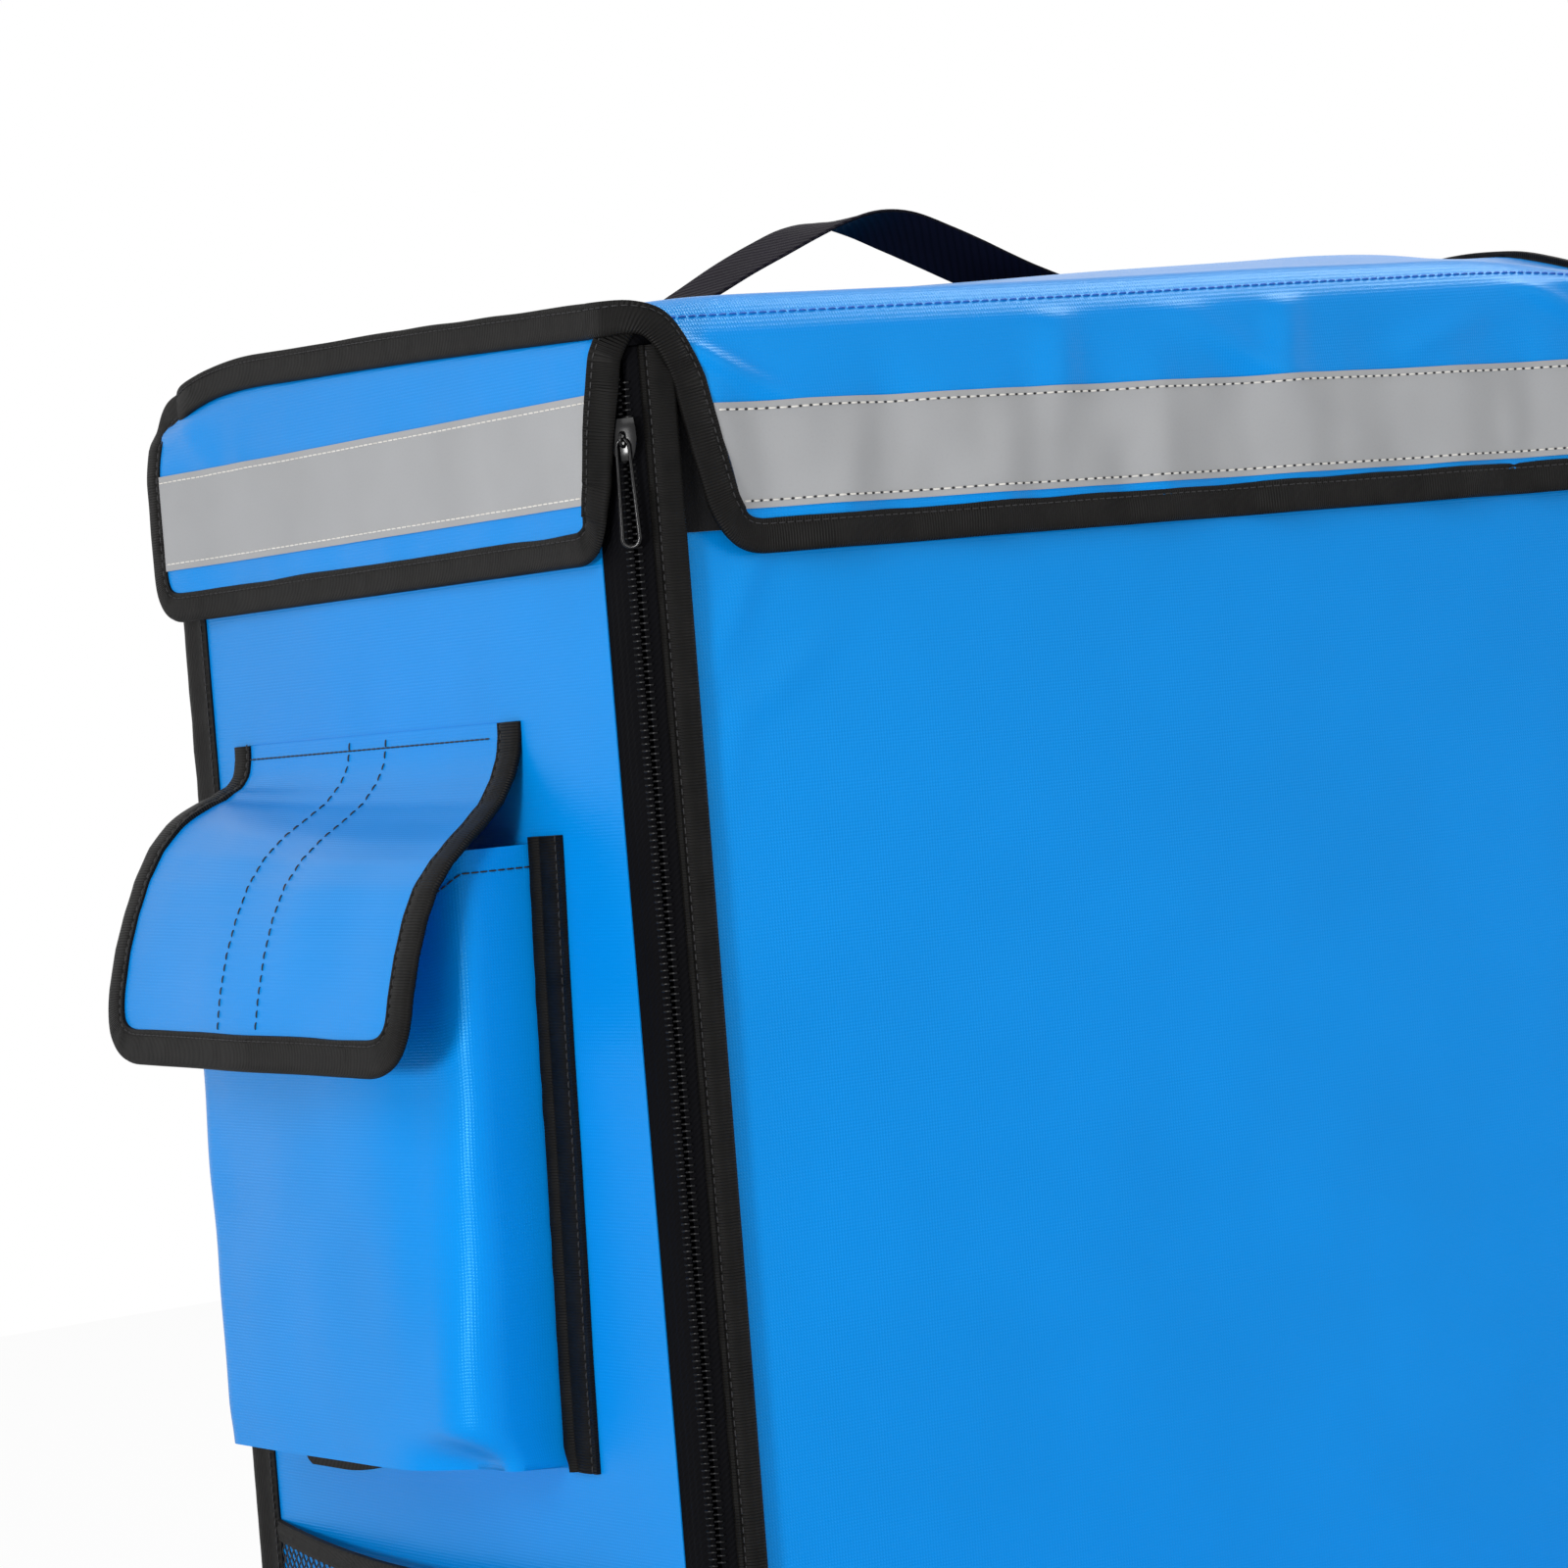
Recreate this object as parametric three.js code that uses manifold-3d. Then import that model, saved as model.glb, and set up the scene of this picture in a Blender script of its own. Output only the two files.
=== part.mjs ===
// Insulated food delivery backpack: a tall soft-sided box of foam boards between a coated
// cloth outside and a foil lining. The lid turns up at the back edge and carries three
// hanging flaps. The front drops down between two corner zips. A flapped pocket and a mesh
// pocket sit on the left side, a mesh pocket on the right, shoulder straps on the back.
// Millimetres. X runs along the front, Y from front to back, Z up from the floor at zero.
import * as THREE from "three";
import { mergeVertices } from "three/addons/utils/BufferGeometryUtils.js";
import Module from "manifold-3d";

const wasm = await Module();
wasm.setup();

// Whole bag
const bagWidth = 496;
const bagDepth = 343;
const bagHeight = 550;
const footSpread = 7;

// Layers of a wall, from outside to inside, and the seam slack between pieces that touch
const cover = 1.2;
const foam = 8;
const liner = 0.8;
const seat = 0.3;
const overrun = 2;

// Corner band between side cloth and front cloth, where each zip runs
const bandOnSide = 24;
const bandOnFront = 18;
const cornerOnSide = 9.6;
const cornerOnFront = 7.6;
const zipPlaceShare = 0.42;
const doorClearance = 1;
const foamInset = 12;

// Zip
const tapeThick = 1;
const coilWide = 2.6;
const coilThick = 2;
const coilGap = 1.8;
const zipFoot = 24;
const zipHead = 8;

// Slider and its pull
const sliderDrop = 43;
const sliderLong = 15;
const sliderHalf = 5;
const sliderPlate = 1;
const sliderPost = 1.1;
const sliderPostLong = 4;
const bridgeHalf = 1.2;
const bridgeReach = 3.6;
const bridgeLong = 6;
const bridgeLeg = 1;
const pullLong = 42;
const pullHalf = 4;
const pullThick = 1.2;
const pullBar = 1.6;
const pullHoleLong = 3.7;
const pullHoleHalf = 2;
const pullTipShare = 0.62;

// Lid flaps, their edge binding and the reflective strips
const flapStandOff = 3.8;
const flapThick = 1.2;
const flapDrop = 85;
const flapCorner = 16;
const bindWide = 14;
const bindThick = 1;
const sideFlapHead = 1;
const sideFlapLean = 22;
const frontFlapHead = 14;
const frontFlapLean = 30;
const stripHigh = 38;
const stripThick = 0.5;
const stripDropSide = 27.7;
const stripDropFront = 31.6;

// Crown of the lid: how far its cloth rises over the flat edge, at shares of width and depth
const crownLeft = 12.6;
const crownRight = 17.5;
const crownSwell = 4.6;
const crownColumnShares = [0, 0.03, 0.075, 0.15, 0.3, 0.5, 0.7, 0.85, 0.925, 0.97, 1];
const crownRowShares = [0, 0.043, 0.15, 0.3, 0.45, 0.6, 0.72, 0.8, 0.88, 0.94, 1];
const swellShares = [0, 0, 0.7, 1, 1, 1, 1, 1, 0.7, 0, 0];
const crownLeftShares = [0, 0.19, 0.38, 0.55, 0.73, 0.86, 0.95, 1, 0.88, 0.5, 0];
const crownRightShares = [0.3, 0.37, 0.52, 0.8, 0.95, 1, 0.96, 0.9, 0.68, 0.37, 0];

// Top handle of flat webbing
const handleWide = 25;
const handleThick = 1.6;
const handleHalfSpan = 128;
const handleFoot = 24;
const handleRise = 57;
const handleBack = 20;
const handleFootShare = 0.74;
const handleCrownShare = 0.31;
const handleShoulderShare = 0.92;

// Black band at the top of the front, under the front flap
const loopHigh = 66;
const loopThick = 1;

// Bindings down the back corners and on the front panel's edges
const backBindWide = 22;
const frontBindWide = 11;

// Flapped pocket on the left side, placed from the bag's front and the lid's top
const pocketFront = 92;
const pocketWide = 191;
const frontGussetLean = 12;
const backGussetLean = 4;
const pocketDeep = 42;
const pocketCloth = 1.6;
const pocketTopDrop = 186;
const pocketFootDrop = 408;
const pocketBindWide = 18;
const pocketBindRise = 5;

// Its flap, which stands out from the wall in an S
const pocketFlapFront = 90;
const pocketFlapWide = 214;
const pocketFlapDrop = 138;
const pocketFlapLong = 118;
const pocketFlapOut = 65;
const pocketFlapThick = 1.6;
const pocketFlapBind = 13;
const pocketFlapBindThick = 2.6;
const pocketFlapCorner = 20;
const flapNeckShare = 0.22;
const flapShoulderShare = 0.12;
const flapReachShare = 0.89;

// Mesh pockets at the foot of both sides
const meshFront = 26;
const meshGap = 1;
const meshDeep = 16;
const meshThick = 1.2;
const meshFoot = 5;
const meshTop = 104;
const meshHem = 9;
const meshEnd = 5;

// Back pad, shoulder straps, ladder locks and webbing
const padWide = 300;
const padFoot = 125;
const padTopDrop = 80;
const padThick = 14;
const strapApart = 190;
const strapWide = 62;
const strapThick = 12;
const strapTopDrop = 38;
const strapEndHeight = 226;
const strapEndOut = 44;
const strapTail = 10;
const strapReach = 75;
const strapBelly = 95;
const strapBellyHeight = 330;
const lockWide = 36;
const lockHigh = 24;
const lockThick = 5;
const lockSlotWide = 27;
const lockSlotHigh = 5;
const webWide = 25;
const webThick = 1.6;
const webFoot = 40;
const webFlat = 22;

// Steps of the curved outlines
const curveSteps = 14;
const cornerSteps = 5;
const bulgeSteps = 12;

// Places that several pieces share
const halfWidth = bagWidth / 2;
const halfDepth = bagDepth / 2;
const stack = cover + seat + foam + seat + liner;
const baseTop = stack + seat;
const wallTop = bagHeight - stack - seat;
const lidPlane = flapStandOff + flapThick;
const lidHalfWidth = halfWidth + lidPlane;
const lidFront = -halfDepth - lidPlane;
const flapTop = bagHeight - cover - seat;
const lidWide = 2 * lidHalfWidth;
const lidDeep = halfDepth - lidFront;
const crownTop = bagHeight + crownRight + crownSwell + overrun;
const meshWide = bagDepth - meshFront - backBindWide - meshGap;
const padTop = bagHeight - padTopDrop;
const strapTop = bagHeight - strapTopDrop;

// Finishes
const finishes = {
  blueCloth: { color: 0x178de3, roughness: 0.42, metalness: 0 },
  foamBoard: { color: 0xe9e9e6, roughness: 0.9, metalness: 0 },
  foil: { color: 0xc3c6ca, roughness: 0.32, metalness: 0.9 },
  blackTape: { color: 0x1c1b1d, roughness: 0.85, metalness: 0 },
  zipNylon: { color: 0x131319, roughness: 0.6, metalness: 0 },
  blackMetal: { color: 0x18181a, roughness: 0.25, metalness: 0.8 },
  reflective: { color: 0xb4b6b5, roughness: 0.4, metalness: 0.35 },
  webbing: { color: 0x1d1a2b, roughness: 0.8, metalness: 0 },
  netting: { color: 0x202024, roughness: 0.8, metalness: 0 },
  airMesh: { color: 0x222226, roughness: 0.95, metalness: 0 },
  acetal: { color: 0x17171a, roughness: 0.4, metalness: 0 },
};

function piece(name, geometry, finish) {
  const mesh = new THREE.Mesh(geometry, new THREE.MeshStandardMaterial(finishes[finish]));
  mesh.name = name;
  return mesh;
}

// A flat board between two values on each axis
function slab(name, x, y, z, finish) {
  const mesh = piece(name, new THREE.BoxGeometry(x[1] - x[0], y[1] - y[0], z[1] - z[0]), finish);
  mesh.position.set((x[0] + x[1]) / 2, (y[0] + y[1]) / 2, (z[0] + z[1]) / 2);
  return mesh;
}

// An outline pushed along an axis: points are (y, z) along x, (z, x) along y, (x, y) along z
const turns = {
  x: new THREE.Matrix4().makeBasis(
    new THREE.Vector3(0, 1, 0), new THREE.Vector3(0, 0, 1), new THREE.Vector3(1, 0, 0)),
  y: new THREE.Matrix4().makeBasis(
    new THREE.Vector3(0, 0, 1), new THREE.Vector3(1, 0, 0), new THREE.Vector3(0, 1, 0)),
  z: new THREE.Matrix4(),
};

function prism(outline, axis, low, high) {
  const settings = { depth: high - low, bevelEnabled: false };
  const geometry = new THREE.ExtrudeGeometry(new THREE.Shape(outline), settings);
  geometry.translate(0, 0, low);
  return geometry.applyMatrix4(turns[axis]);
}

function point(first, second) {
  return new THREE.Vector2(first, second);
}

// Closed geometry to a solid that can be cut and joined, and back
function toSolid(geometry) {
  const bare = geometry.clone();
  bare.deleteAttribute("normal");
  bare.deleteAttribute("uv");
  const whole = mergeVertices(bare);
  return new wasm.Manifold(new wasm.Mesh({
    numProp: 3,
    vertProperties: new Float32Array(whole.attributes.position.array),
    triVerts: new Uint32Array(whole.index.array),
  }));
}

function toGeometry(solid) {
  const mesh = solid.getMesh();
  const geometry = new THREE.BufferGeometry();
  geometry.setAttribute("position", new THREE.BufferAttribute(mesh.vertProperties, mesh.numProp));
  geometry.setIndex(new THREE.BufferAttribute(mesh.triVerts, 1));
  return geometry;
}

// A box given by its limits, for joining and cutting
function block(x, y, z) {
  const geometry = new THREE.BoxGeometry(x[1] - x[0], y[1] - y[0], z[1] - z[0]);
  geometry.translate((x[0] + x[1]) / 2, (y[0] + y[1]) / 2, (z[0] + z[1]) / 2);
  return toSolid(geometry);
}

// The outline of a band of even thickness that follows a run of points
function ribbon(run, thickness) {
  const left = [];
  const right = [];
  run.forEach((here, i) => {
    const before = run[Math.max(i - 1, 0)];
    const after = run[Math.min(i + 1, run.length - 1)];
    const along = after.clone().sub(before).normalize();
    const across = point(-along.y, along.x).multiplyScalar(thickness / 2);
    left.push(here.clone().add(across));
    right.push(here.clone().sub(across));
  });
  return left.concat(right.reverse());
}

// A run of points with its inner corners rounded by arcs
function softened(run, radius) {
  const out = [run[0]];
  for (let i = 1; i < run.length - 1; i += 1) {
    const back = run[i - 1].clone().sub(run[i]).normalize();
    const ahead = run[i + 1].clone().sub(run[i]).normalize();
    const half = Math.acos(back.dot(ahead)) / 2;
    const reach = radius / Math.tan(half);
    const middle = back.clone().add(ahead).normalize().multiplyScalar(radius / Math.sin(half));
    const centre = run[i].clone().add(middle);
    const first = run[i].clone().addScaledVector(back, reach).sub(centre);
    const last = run[i].clone().addScaledVector(ahead, reach).sub(centre);
    const turn = Math.atan2(first.cross(last), first.dot(last));
    for (let k = 0; k <= cornerSteps; k += 1) {
      out.push(first.clone().rotateAround(point(0, 0), (turn * k) / cornerSteps).add(centre));
    }
  }
  return out.concat([run[run.length - 1]]);
}

// The free edge of a hanging flap, from its top at one end to its top at the other. Each end
// leans inwards on the way down, and an inset moves the whole edge in by that much.
function hangingEdge(low, high, top, drop, leans, radius, inset) {
  const [leanLow, leanHigh] = leans;
  const lowInset = (inset * Math.hypot(leanLow, drop)) / drop;
  const highInset = (inset * Math.hypot(leanHigh, drop)) / drop;
  const fall = drop - inset;
  const run = [
    point(low + lowInset, top),
    point(low + lowInset + (leanLow * fall) / drop, top - fall),
    point(high - highInset - (leanHigh * fall) / drop, top - fall),
    point(high - highInset, top),
  ];
  return softened(run, radius - inset);
}

// Points of a cubic curve between two ends, pulled by two handles
function bezier(start, pullStart, pullEnd, end, steps) {
  return new THREE.CubicBezierCurve(start, pullStart, pullEnd, end).getPoints(steps);
}

function swapped(run) {
  return run.map((p) => point(p.y, p.x));
}

// A box wall: covering outside, foam board in the middle, foil lining inside
function sideWall(side, name) {
  const outer = side * halfWidth;
  const layers = [
    { part: "panel", from: 0, thick: cover, front: bandOnSide + seat, back: 0, finish: "blueCloth" },
    { part: "foam", from: cover + seat, thick: foam, front: stack + doorClearance,
      back: cover + seat, finish: "foamBoard" },
    { part: "liner", from: stack - liner, thick: liner, front: stack + doorClearance,
      back: stack + seat, finish: "foil" },
  ];
  return layers.map((layer) => {
    const near = outer - side * layer.from;
    const far = near - side * layer.thick;
    return slab(`${name}_${layer.part}`, [Math.min(near, far), Math.max(near, far)],
      [-halfDepth + layer.front, halfDepth - layer.back], [baseTop, wallTop], layer.finish);
  });
}

function backWall() {
  const coverHalf = halfWidth - cover - seat;
  const foamHalf = coverHalf - foam - seat;
  const foamBack = halfDepth - cover - seat;
  const linerHalf = halfWidth - stack - seat;
  const high = [baseTop, wallTop];
  return [
    slab("back_panel", [-coverHalf, coverHalf], [halfDepth - cover, halfDepth], high, "blueCloth"),
    slab("back_foam", [-foamHalf, foamHalf], [foamBack - foam, foamBack], high, "foamBoard"),
    slab("back_liner", [-linerHalf, linerHalf],
      [halfDepth - stack, halfDepth - stack + liner], high, "foil"),
  ];
}

// A flat tray of three layers, for the base and, turned over, for the lid
function baseWall() {
  const foamLow = cover + seat;
  const linerLow = foamLow + foam + seat;
  const wide = [-halfWidth, halfWidth];
  const deep = [-halfDepth, halfDepth];
  return [
    slab("base_panel", wide, deep, [0, cover], "blueCloth"),
    slab("base_foam", wide, deep, [foamLow, foamLow + foam], "foamBoard"),
    slab("base_liner", wide, deep, [linerLow, linerLow + liner], "foil"),
  ];
}

// Rise of the lid's crown at a column and a row of its grid
function crownRise(i, j) {
  const left = crownLeft * crownLeftShares[j];
  const right = crownRight * crownRightShares[j];
  const swell = j === 0 ? 0 : crownSwell * swellShares[i] * (1 - crownRowShares[j]);
  return left + (right - left) * crownColumnShares[i] + swell;
}

// Rise of the crown at any place, between the columns and rows of its grid
function crownAt(x, y) {
  const wideShare = (x + lidHalfWidth) / lidWide;
  const deepShare = (y - lidFront) / lidDeep;
  const i = Math.max(crownColumnShares.findIndex((share) => share >= wideShare) - 1, 0);
  const j = Math.max(crownRowShares.findIndex((share) => share >= deepShare) - 1, 0);
  const across = (wideShare - crownColumnShares[i]) / (crownColumnShares[i + 1] - crownColumnShares[i]);
  const along = (deepShare - crownRowShares[j]) / (crownRowShares[j + 1] - crownRowShares[j]);
  const near = crownRise(i, j) + (crownRise(i + 1, j) - crownRise(i, j)) * across;
  const far = crownRise(i, j + 1) + (crownRise(i + 1, j + 1) - crownRise(i, j + 1)) * across;
  return near + (far - near) * along;
}

// Everything under the lid's crown, with its crowned top moved up or down by a lift
function underCrown(lift) {
  const columns = crownColumnShares.length;
  const rows = crownRowShares.length;
  const places = [];
  for (const onTop of [true, false]) {
    crownRowShares.forEach((deepShare, j) => crownColumnShares.forEach((wideShare, i) => {
      places.push(-lidHalfWidth + wideShare * lidWide, lidFront + deepShare * lidDeep,
        onTop ? bagHeight + crownRise(i, j) + lift : wallTop);
    }));
  }
  const under = rows * columns;
  const faces = [];
  const quad = (a, b, c, d) => faces.push(a, b, c, a, c, d);
  for (let j = 0; j < rows - 1; j += 1) {
    for (let i = 0; i < columns - 1; i += 1) {
      const a = j * columns + i;
      const d = a + columns;
      quad(a, a + 1, d + 1, d);
      quad(under + d, under + d + 1, under + a + 1, under + a);
    }
  }
  const last = (rows - 1) * columns;
  for (let i = 0; i < columns - 1; i += 1) {
    quad(under + i, under + i + 1, i + 1, i);
    quad(last + i, last + i + 1, under + last + i + 1, under + last + i);
  }
  for (let j = 0; j < rows - 1; j += 1) {
    const near = j * columns;
    const far = near + columns;
    quad(near, far, under + far, under + near);
    quad(under + near + columns - 1, under + far + columns - 1, far + columns - 1, near + columns - 1);
  }
  return new wasm.Manifold(new wasm.Mesh({
    numProp: 3, vertProperties: new Float32Array(places), triVerts: new Uint32Array(faces),
  }));
}

function lidWall() {
  const foamLow = wallTop + seat + liner + seat;
  const linerLow = wallTop + seat;
  const wide = [-halfWidth, halfWidth];
  const deep = [-halfDepth, halfDepth];
  const inside = underCrown(-cover).intersect(block([-lidHalfWidth + cover, lidHalfWidth - cover],
    [lidFront + cover, halfDepth - cover], [wallTop, crownTop]));
  const whole = underCrown(0).intersect(block([-lidHalfWidth, lidHalfWidth], [lidFront, halfDepth],
    [bagHeight - cover, crownTop]));
  const padding = underCrown(-cover - seat).intersect(block([-halfWidth, halfWidth],
    [-halfDepth, halfDepth - cover - seat], [foamLow, crownTop]));
  return [
    piece("lid_panel", toGeometry(whole.subtract(inside)), "blueCloth"),
    piece("lid_foam", toGeometry(padding), "foamBoard"),
    slab("lid_liner", wide, deep, [linerLow, linerLow + liner], "foil"),
  ];
}

function frontWall() {
  const coverHalf = halfWidth - bandOnFront - seat;
  const foamHalf = halfWidth - foamInset;
  const foamFront = -halfDepth + cover + seat;
  const linerFront = foamFront + foam + seat;
  const high = [baseTop, wallTop];
  return [
    slab("front_panel", [-coverHalf, coverHalf], [-halfDepth, -halfDepth + cover], high, "blueCloth"),
    slab("front_foam", [-foamHalf, foamHalf], [foamFront, foamFront + foam], high, "foamBoard"),
    slab("front_liner", [-foamHalf, foamHalf], [linerFront, linerFront + liner], high, "foil"),
  ];
}

// Black band of loop tape across the top of the front
function frontLoopStrip() {
  const half = halfWidth - cornerOnFront - frontBindWide - seat;
  const front = -halfDepth - seat;
  return slab("front_loop_strip", [-half, half], [front - loopThick, front],
    [wallTop - loopHigh, wallTop], "blackTape");
}

// Where a zip lies on its cut corner, seen from above: the middle of the coil, the way along
// the cut towards the side, and the way out of the bag
function zipPlace(side) {
  const sideEnd = point(side * halfWidth, -halfDepth + cornerOnSide);
  const frontEnd = point(side * (halfWidth - cornerOnFront), -halfDepth);
  const middle = sideEnd.clone().lerp(frontEnd, zipPlaceShare);
  const along = sideEnd.clone().sub(frontEnd).normalize();
  const outward = point(side * along.y, -side * along.x);
  return { sideEnd, frontEnd, middle, along, outward };
}

function local(place, across, out) {
  return place.middle.clone().addScaledVector(place.along, across)
    .addScaledVector(place.outward, out);
}

// Half a zip: woven tape from the bag's cloth to the coil, and the coil along its edge. The
// tape's outer face lies on the line given, its coil stands out of that face.
function zipHalf(side, name, towardsSide) {
  const place = zipPlace(side);
  const sign = towardsSide ? 1 : -1;
  const corner = towardsSide ? place.sideEnd : place.frontEnd;
  const end = towardsSide
    ? point(side * halfWidth, -halfDepth + bandOnSide)
    : point(side * (halfWidth - bandOnFront), -halfDepth);
  const inward = towardsSide ? point(-side, 0) : point(0, 1);
  const cutInward = place.outward.clone().negate();
  const edge = (sign * coilGap) / 2;
  const back = edge + sign * coilWide;
  const inCorner = inward.clone().add(cutInward)
    .multiplyScalar(tapeThick / (1 + inward.dot(cutInward))).add(corner);
  const outline = [
    end, corner,
    local(place, back, 0), local(place, back, coilThick),
    local(place, edge, coilThick), local(place, edge, -tapeThick),
    inCorner, end.clone().addScaledVector(inward, tapeThick),
  ];
  return piece(name, prism(outline, "z", baseTop + zipFoot, wallTop - zipHead), "zipNylon");
}

// Cast slider: plate over the coils, post between them, plate behind the front half only,
// and the bridge that the pull hangs in. Built at the origin, then set on its corner.
function slider(side, name) {
  const plateLow = coilThick + seat;
  const plateHigh = plateLow + sliderPlate;
  const behind = -tapeThick - seat;
  const half = sliderLong / 2;
  const bridgeTop = plateHigh + bridgeReach;
  const post = sliderPost / 2;
  const solid = block([-sliderHalf, sliderHalf], [plateLow, plateHigh], [-half, half])
    .add(block([-post, post], [behind - sliderPlate, plateLow + sliderPlate / 2],
      [half - sliderPostLong, half]))
    .add(block([-sliderHalf, post], [behind - sliderPlate, behind], [-half, half]))
    .add(block([-bridgeHalf, bridgeHalf], [plateLow + sliderPlate / 2, bridgeTop],
      [-bridgeLong / 2, bridgeLong / 2])
      .subtract(block([-bridgeHalf - overrun, bridgeHalf + overrun],
        [plateHigh, bridgeTop - bridgeLeg],
        [-bridgeLong / 2 + bridgeLeg, bridgeLong / 2 - bridgeLeg])));
  return placed(side, name, toGeometry(solid));
}

// Flat pull with a bar under the slider's bridge, a hole below the bar and a narrow tip
function pull(side, name) {
  const out = coilThick + seat + sliderPlate + (bridgeReach - bridgeLeg) / 2;
  const bar = pullBar / 2;
  const tip = pullHalf * pullTipShare;
  const outline = [
    point(-pullHalf, bar), point(-pullHalf, -pullLong + pullHalf), point(-tip, -pullLong),
    point(tip, -pullLong), point(pullHalf, -pullLong + pullHalf), point(pullHalf, bar),
  ];
  const plate = toSolid(prism(swapped(outline), "y", out - pullThick / 2, out + pullThick / 2));
  const hole = block([-pullHoleHalf, pullHoleHalf], [out - pullThick, out + pullThick],
    [-bar - pullHoleLong, -bar]);
  return placed(side, name, toGeometry(plate.subtract(hole)));
}

// Geometry in the zip's own directions (across, out, up) set on its corner of the bag
function placed(side, name, geometry) {
  const place = zipPlace(side);
  const across = new THREE.Vector3(place.along.x, place.along.y, 0);
  const out = new THREE.Vector3(place.outward.x, place.outward.y, 0);
  const up = new THREE.Vector3(0, 0, 1);
  const turn = new THREE.Matrix4().makeBasis(across, out, up);
  turn.setPosition(place.middle.x, place.middle.y, bagHeight - sliderDrop);
  const set = geometry.applyMatrix4(turn);
  if (turn.determinant() < 0) flipFaces(set);
  return piece(name, set, "blackMetal");
}

// A mirrored copy has its faces inside out, so each triangle is turned over
function flipFaces(geometry) {
  const index = geometry.index.array;
  for (let i = 0; i < index.length; i += 3) {
    const first = index[i];
    index[i] = index[i + 1];
    index[i + 1] = first;
  }
}

// Binding over the front panel's side edge
function frontBinding(side, name) {
  const outer = side * (halfWidth - cornerOnFront);
  const inner = outer - side * frontBindWide;
  return slab(name, [Math.min(outer, inner), Math.max(outer, inner)],
    [-halfDepth - seat - bindThick, -halfDepth - seat],
    [baseTop, wallTop], "blackTape");
}

// Binding down a back corner, on the side's face
function backBinding(side, name) {
  const inner = side * (halfWidth + seat);
  const outer = inner + side * bindThick;
  return slab(name, [Math.min(inner, outer), Math.max(inner, outer)],
    [halfDepth - backBindWide, halfDepth], [baseTop, wallTop], "blackTape");
}

// A side flap hangs from the lid beside the bag. Its outer face is on the lid's edge.
function sideFlap(side, name) {
  const edge = hangingEdge(lidFront + sideFlapHead, halfDepth, flapTop, flapDrop,
    [sideFlapLean, 0], flapCorner, 0);
  const outer = side * lidHalfWidth;
  const inner = outer - side * flapThick;
  const geometry = prism(edge, "x", Math.min(outer, inner), Math.max(outer, inner));
  return piece(`${name}_flap`, geometry, "blueCloth");
}

function bindingRim(low, high, leans) {
  const outerEdge = hangingEdge(low, high, flapTop, flapDrop, leans, flapCorner, 0);
  const innerEdge = hangingEdge(low, high, flapTop, flapDrop, leans, flapCorner, bindWide);
  return outerEdge.concat(innerEdge.reverse());
}

function sideFlapBinding(side, name) {
  const rim = bindingRim(lidFront + sideFlapHead, halfDepth, [sideFlapLean, 0]);
  const inner = side * (lidHalfWidth + seat);
  const outer = inner + side * bindThick;
  return piece(`${name}_flap_binding`,
    prism(rim, "x", Math.min(outer, inner), Math.max(outer, inner)), "blackTape");
}

// How far a hanging end has leant in at a drop below the flap's top, past its binding
function stripEnd(lean, drop) {
  return (bindWide * Math.hypot(lean, flapDrop)) / flapDrop + (lean * drop) / flapDrop + seat;
}

function sideReflector(side, name) {
  const high = bagHeight - stripDropSide;
  const fall = flapTop - high + stripHigh;
  const inner = side * (lidHalfWidth + seat);
  const outer = inner + side * stripThick;
  return slab(`${name}_reflector`, [Math.min(inner, outer), Math.max(inner, outer)],
    [lidFront + sideFlapHead + stripEnd(sideFlapLean, fall), halfDepth - bindWide - seat],
    [high - stripHigh, high], "reflective");
}

function frontFlap() {
  const half = lidHalfWidth - frontFlapHead;
  const edge = hangingEdge(-half, half, flapTop, flapDrop, [frontFlapLean, frontFlapLean],
    flapCorner, 0);
  return piece("front_flap", prism(swapped(edge), "y", lidFront, lidFront + flapThick), "blueCloth");
}

function frontFlapBinding() {
  const half = lidHalfWidth - frontFlapHead;
  const rim = bindingRim(-half, half, [frontFlapLean, frontFlapLean]);
  const back = lidFront - seat;
  return piece("front_flap_binding", prism(swapped(rim), "y", back - bindThick, back), "blackTape");
}

function frontReflector() {
  const high = bagHeight - stripDropFront;
  const fall = flapTop - high + stripHigh;
  const half = lidHalfWidth - frontFlapHead - stripEnd(frontFlapLean, fall);
  const back = lidFront - seat;
  return slab("front_reflector", [-half, half], [back - stripThick, back],
    [high - stripHigh, high], "reflective");
}

// Binding over the lid's side edge, on top
function lidBinding(side, name) {
  const outer = side * lidHalfWidth;
  const inner = outer - side * bindWide;
  const low = bagHeight + seat + bindThick / 2;
  const run = crownRowShares.map((share) => {
    const y = lidFront + share * lidDeep;
    return point(y, low + crownAt(side * (lidHalfWidth - bindWide / 2), y));
  });
  return piece(name, prism(ribbon(run, bindThick), "x", Math.min(outer, inner),
    Math.max(outer, inner)), "blackTape");
}

// Webbing handle: two feet sewn flat to the lid and a low arch between them
function topHandle() {
  const crown = bagHeight + handleRise - handleThick / 2;
  const half = (side) => {
    const ground = (x) => bagHeight + seat + handleThick / 2 + crownAt(x, handleBack);
    const foot = point(side * handleHalfSpan, ground(side * handleHalfSpan));
    const shoulder = foot.y + (crown - foot.y) * handleShoulderShare;
    const end = side * (handleHalfSpan + handleFoot);
    return [point(end, ground(end)), ...bezier(foot, point(foot.x * handleFootShare, foot.y),
      point(foot.x * handleCrownShare, shoulder), point(0, crown), curveSteps)];
  };
  const run = half(-1).concat(half(1).slice(0, -1).reverse());
  const strap = toSolid(prism(swapped(ribbon(run, handleThick)), "y",
    handleBack - handleWide / 2, handleBack + handleWide / 2));
  return piece("top_handle", toGeometry(strap.subtract(underCrown(seat))), "webbing");
}

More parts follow.
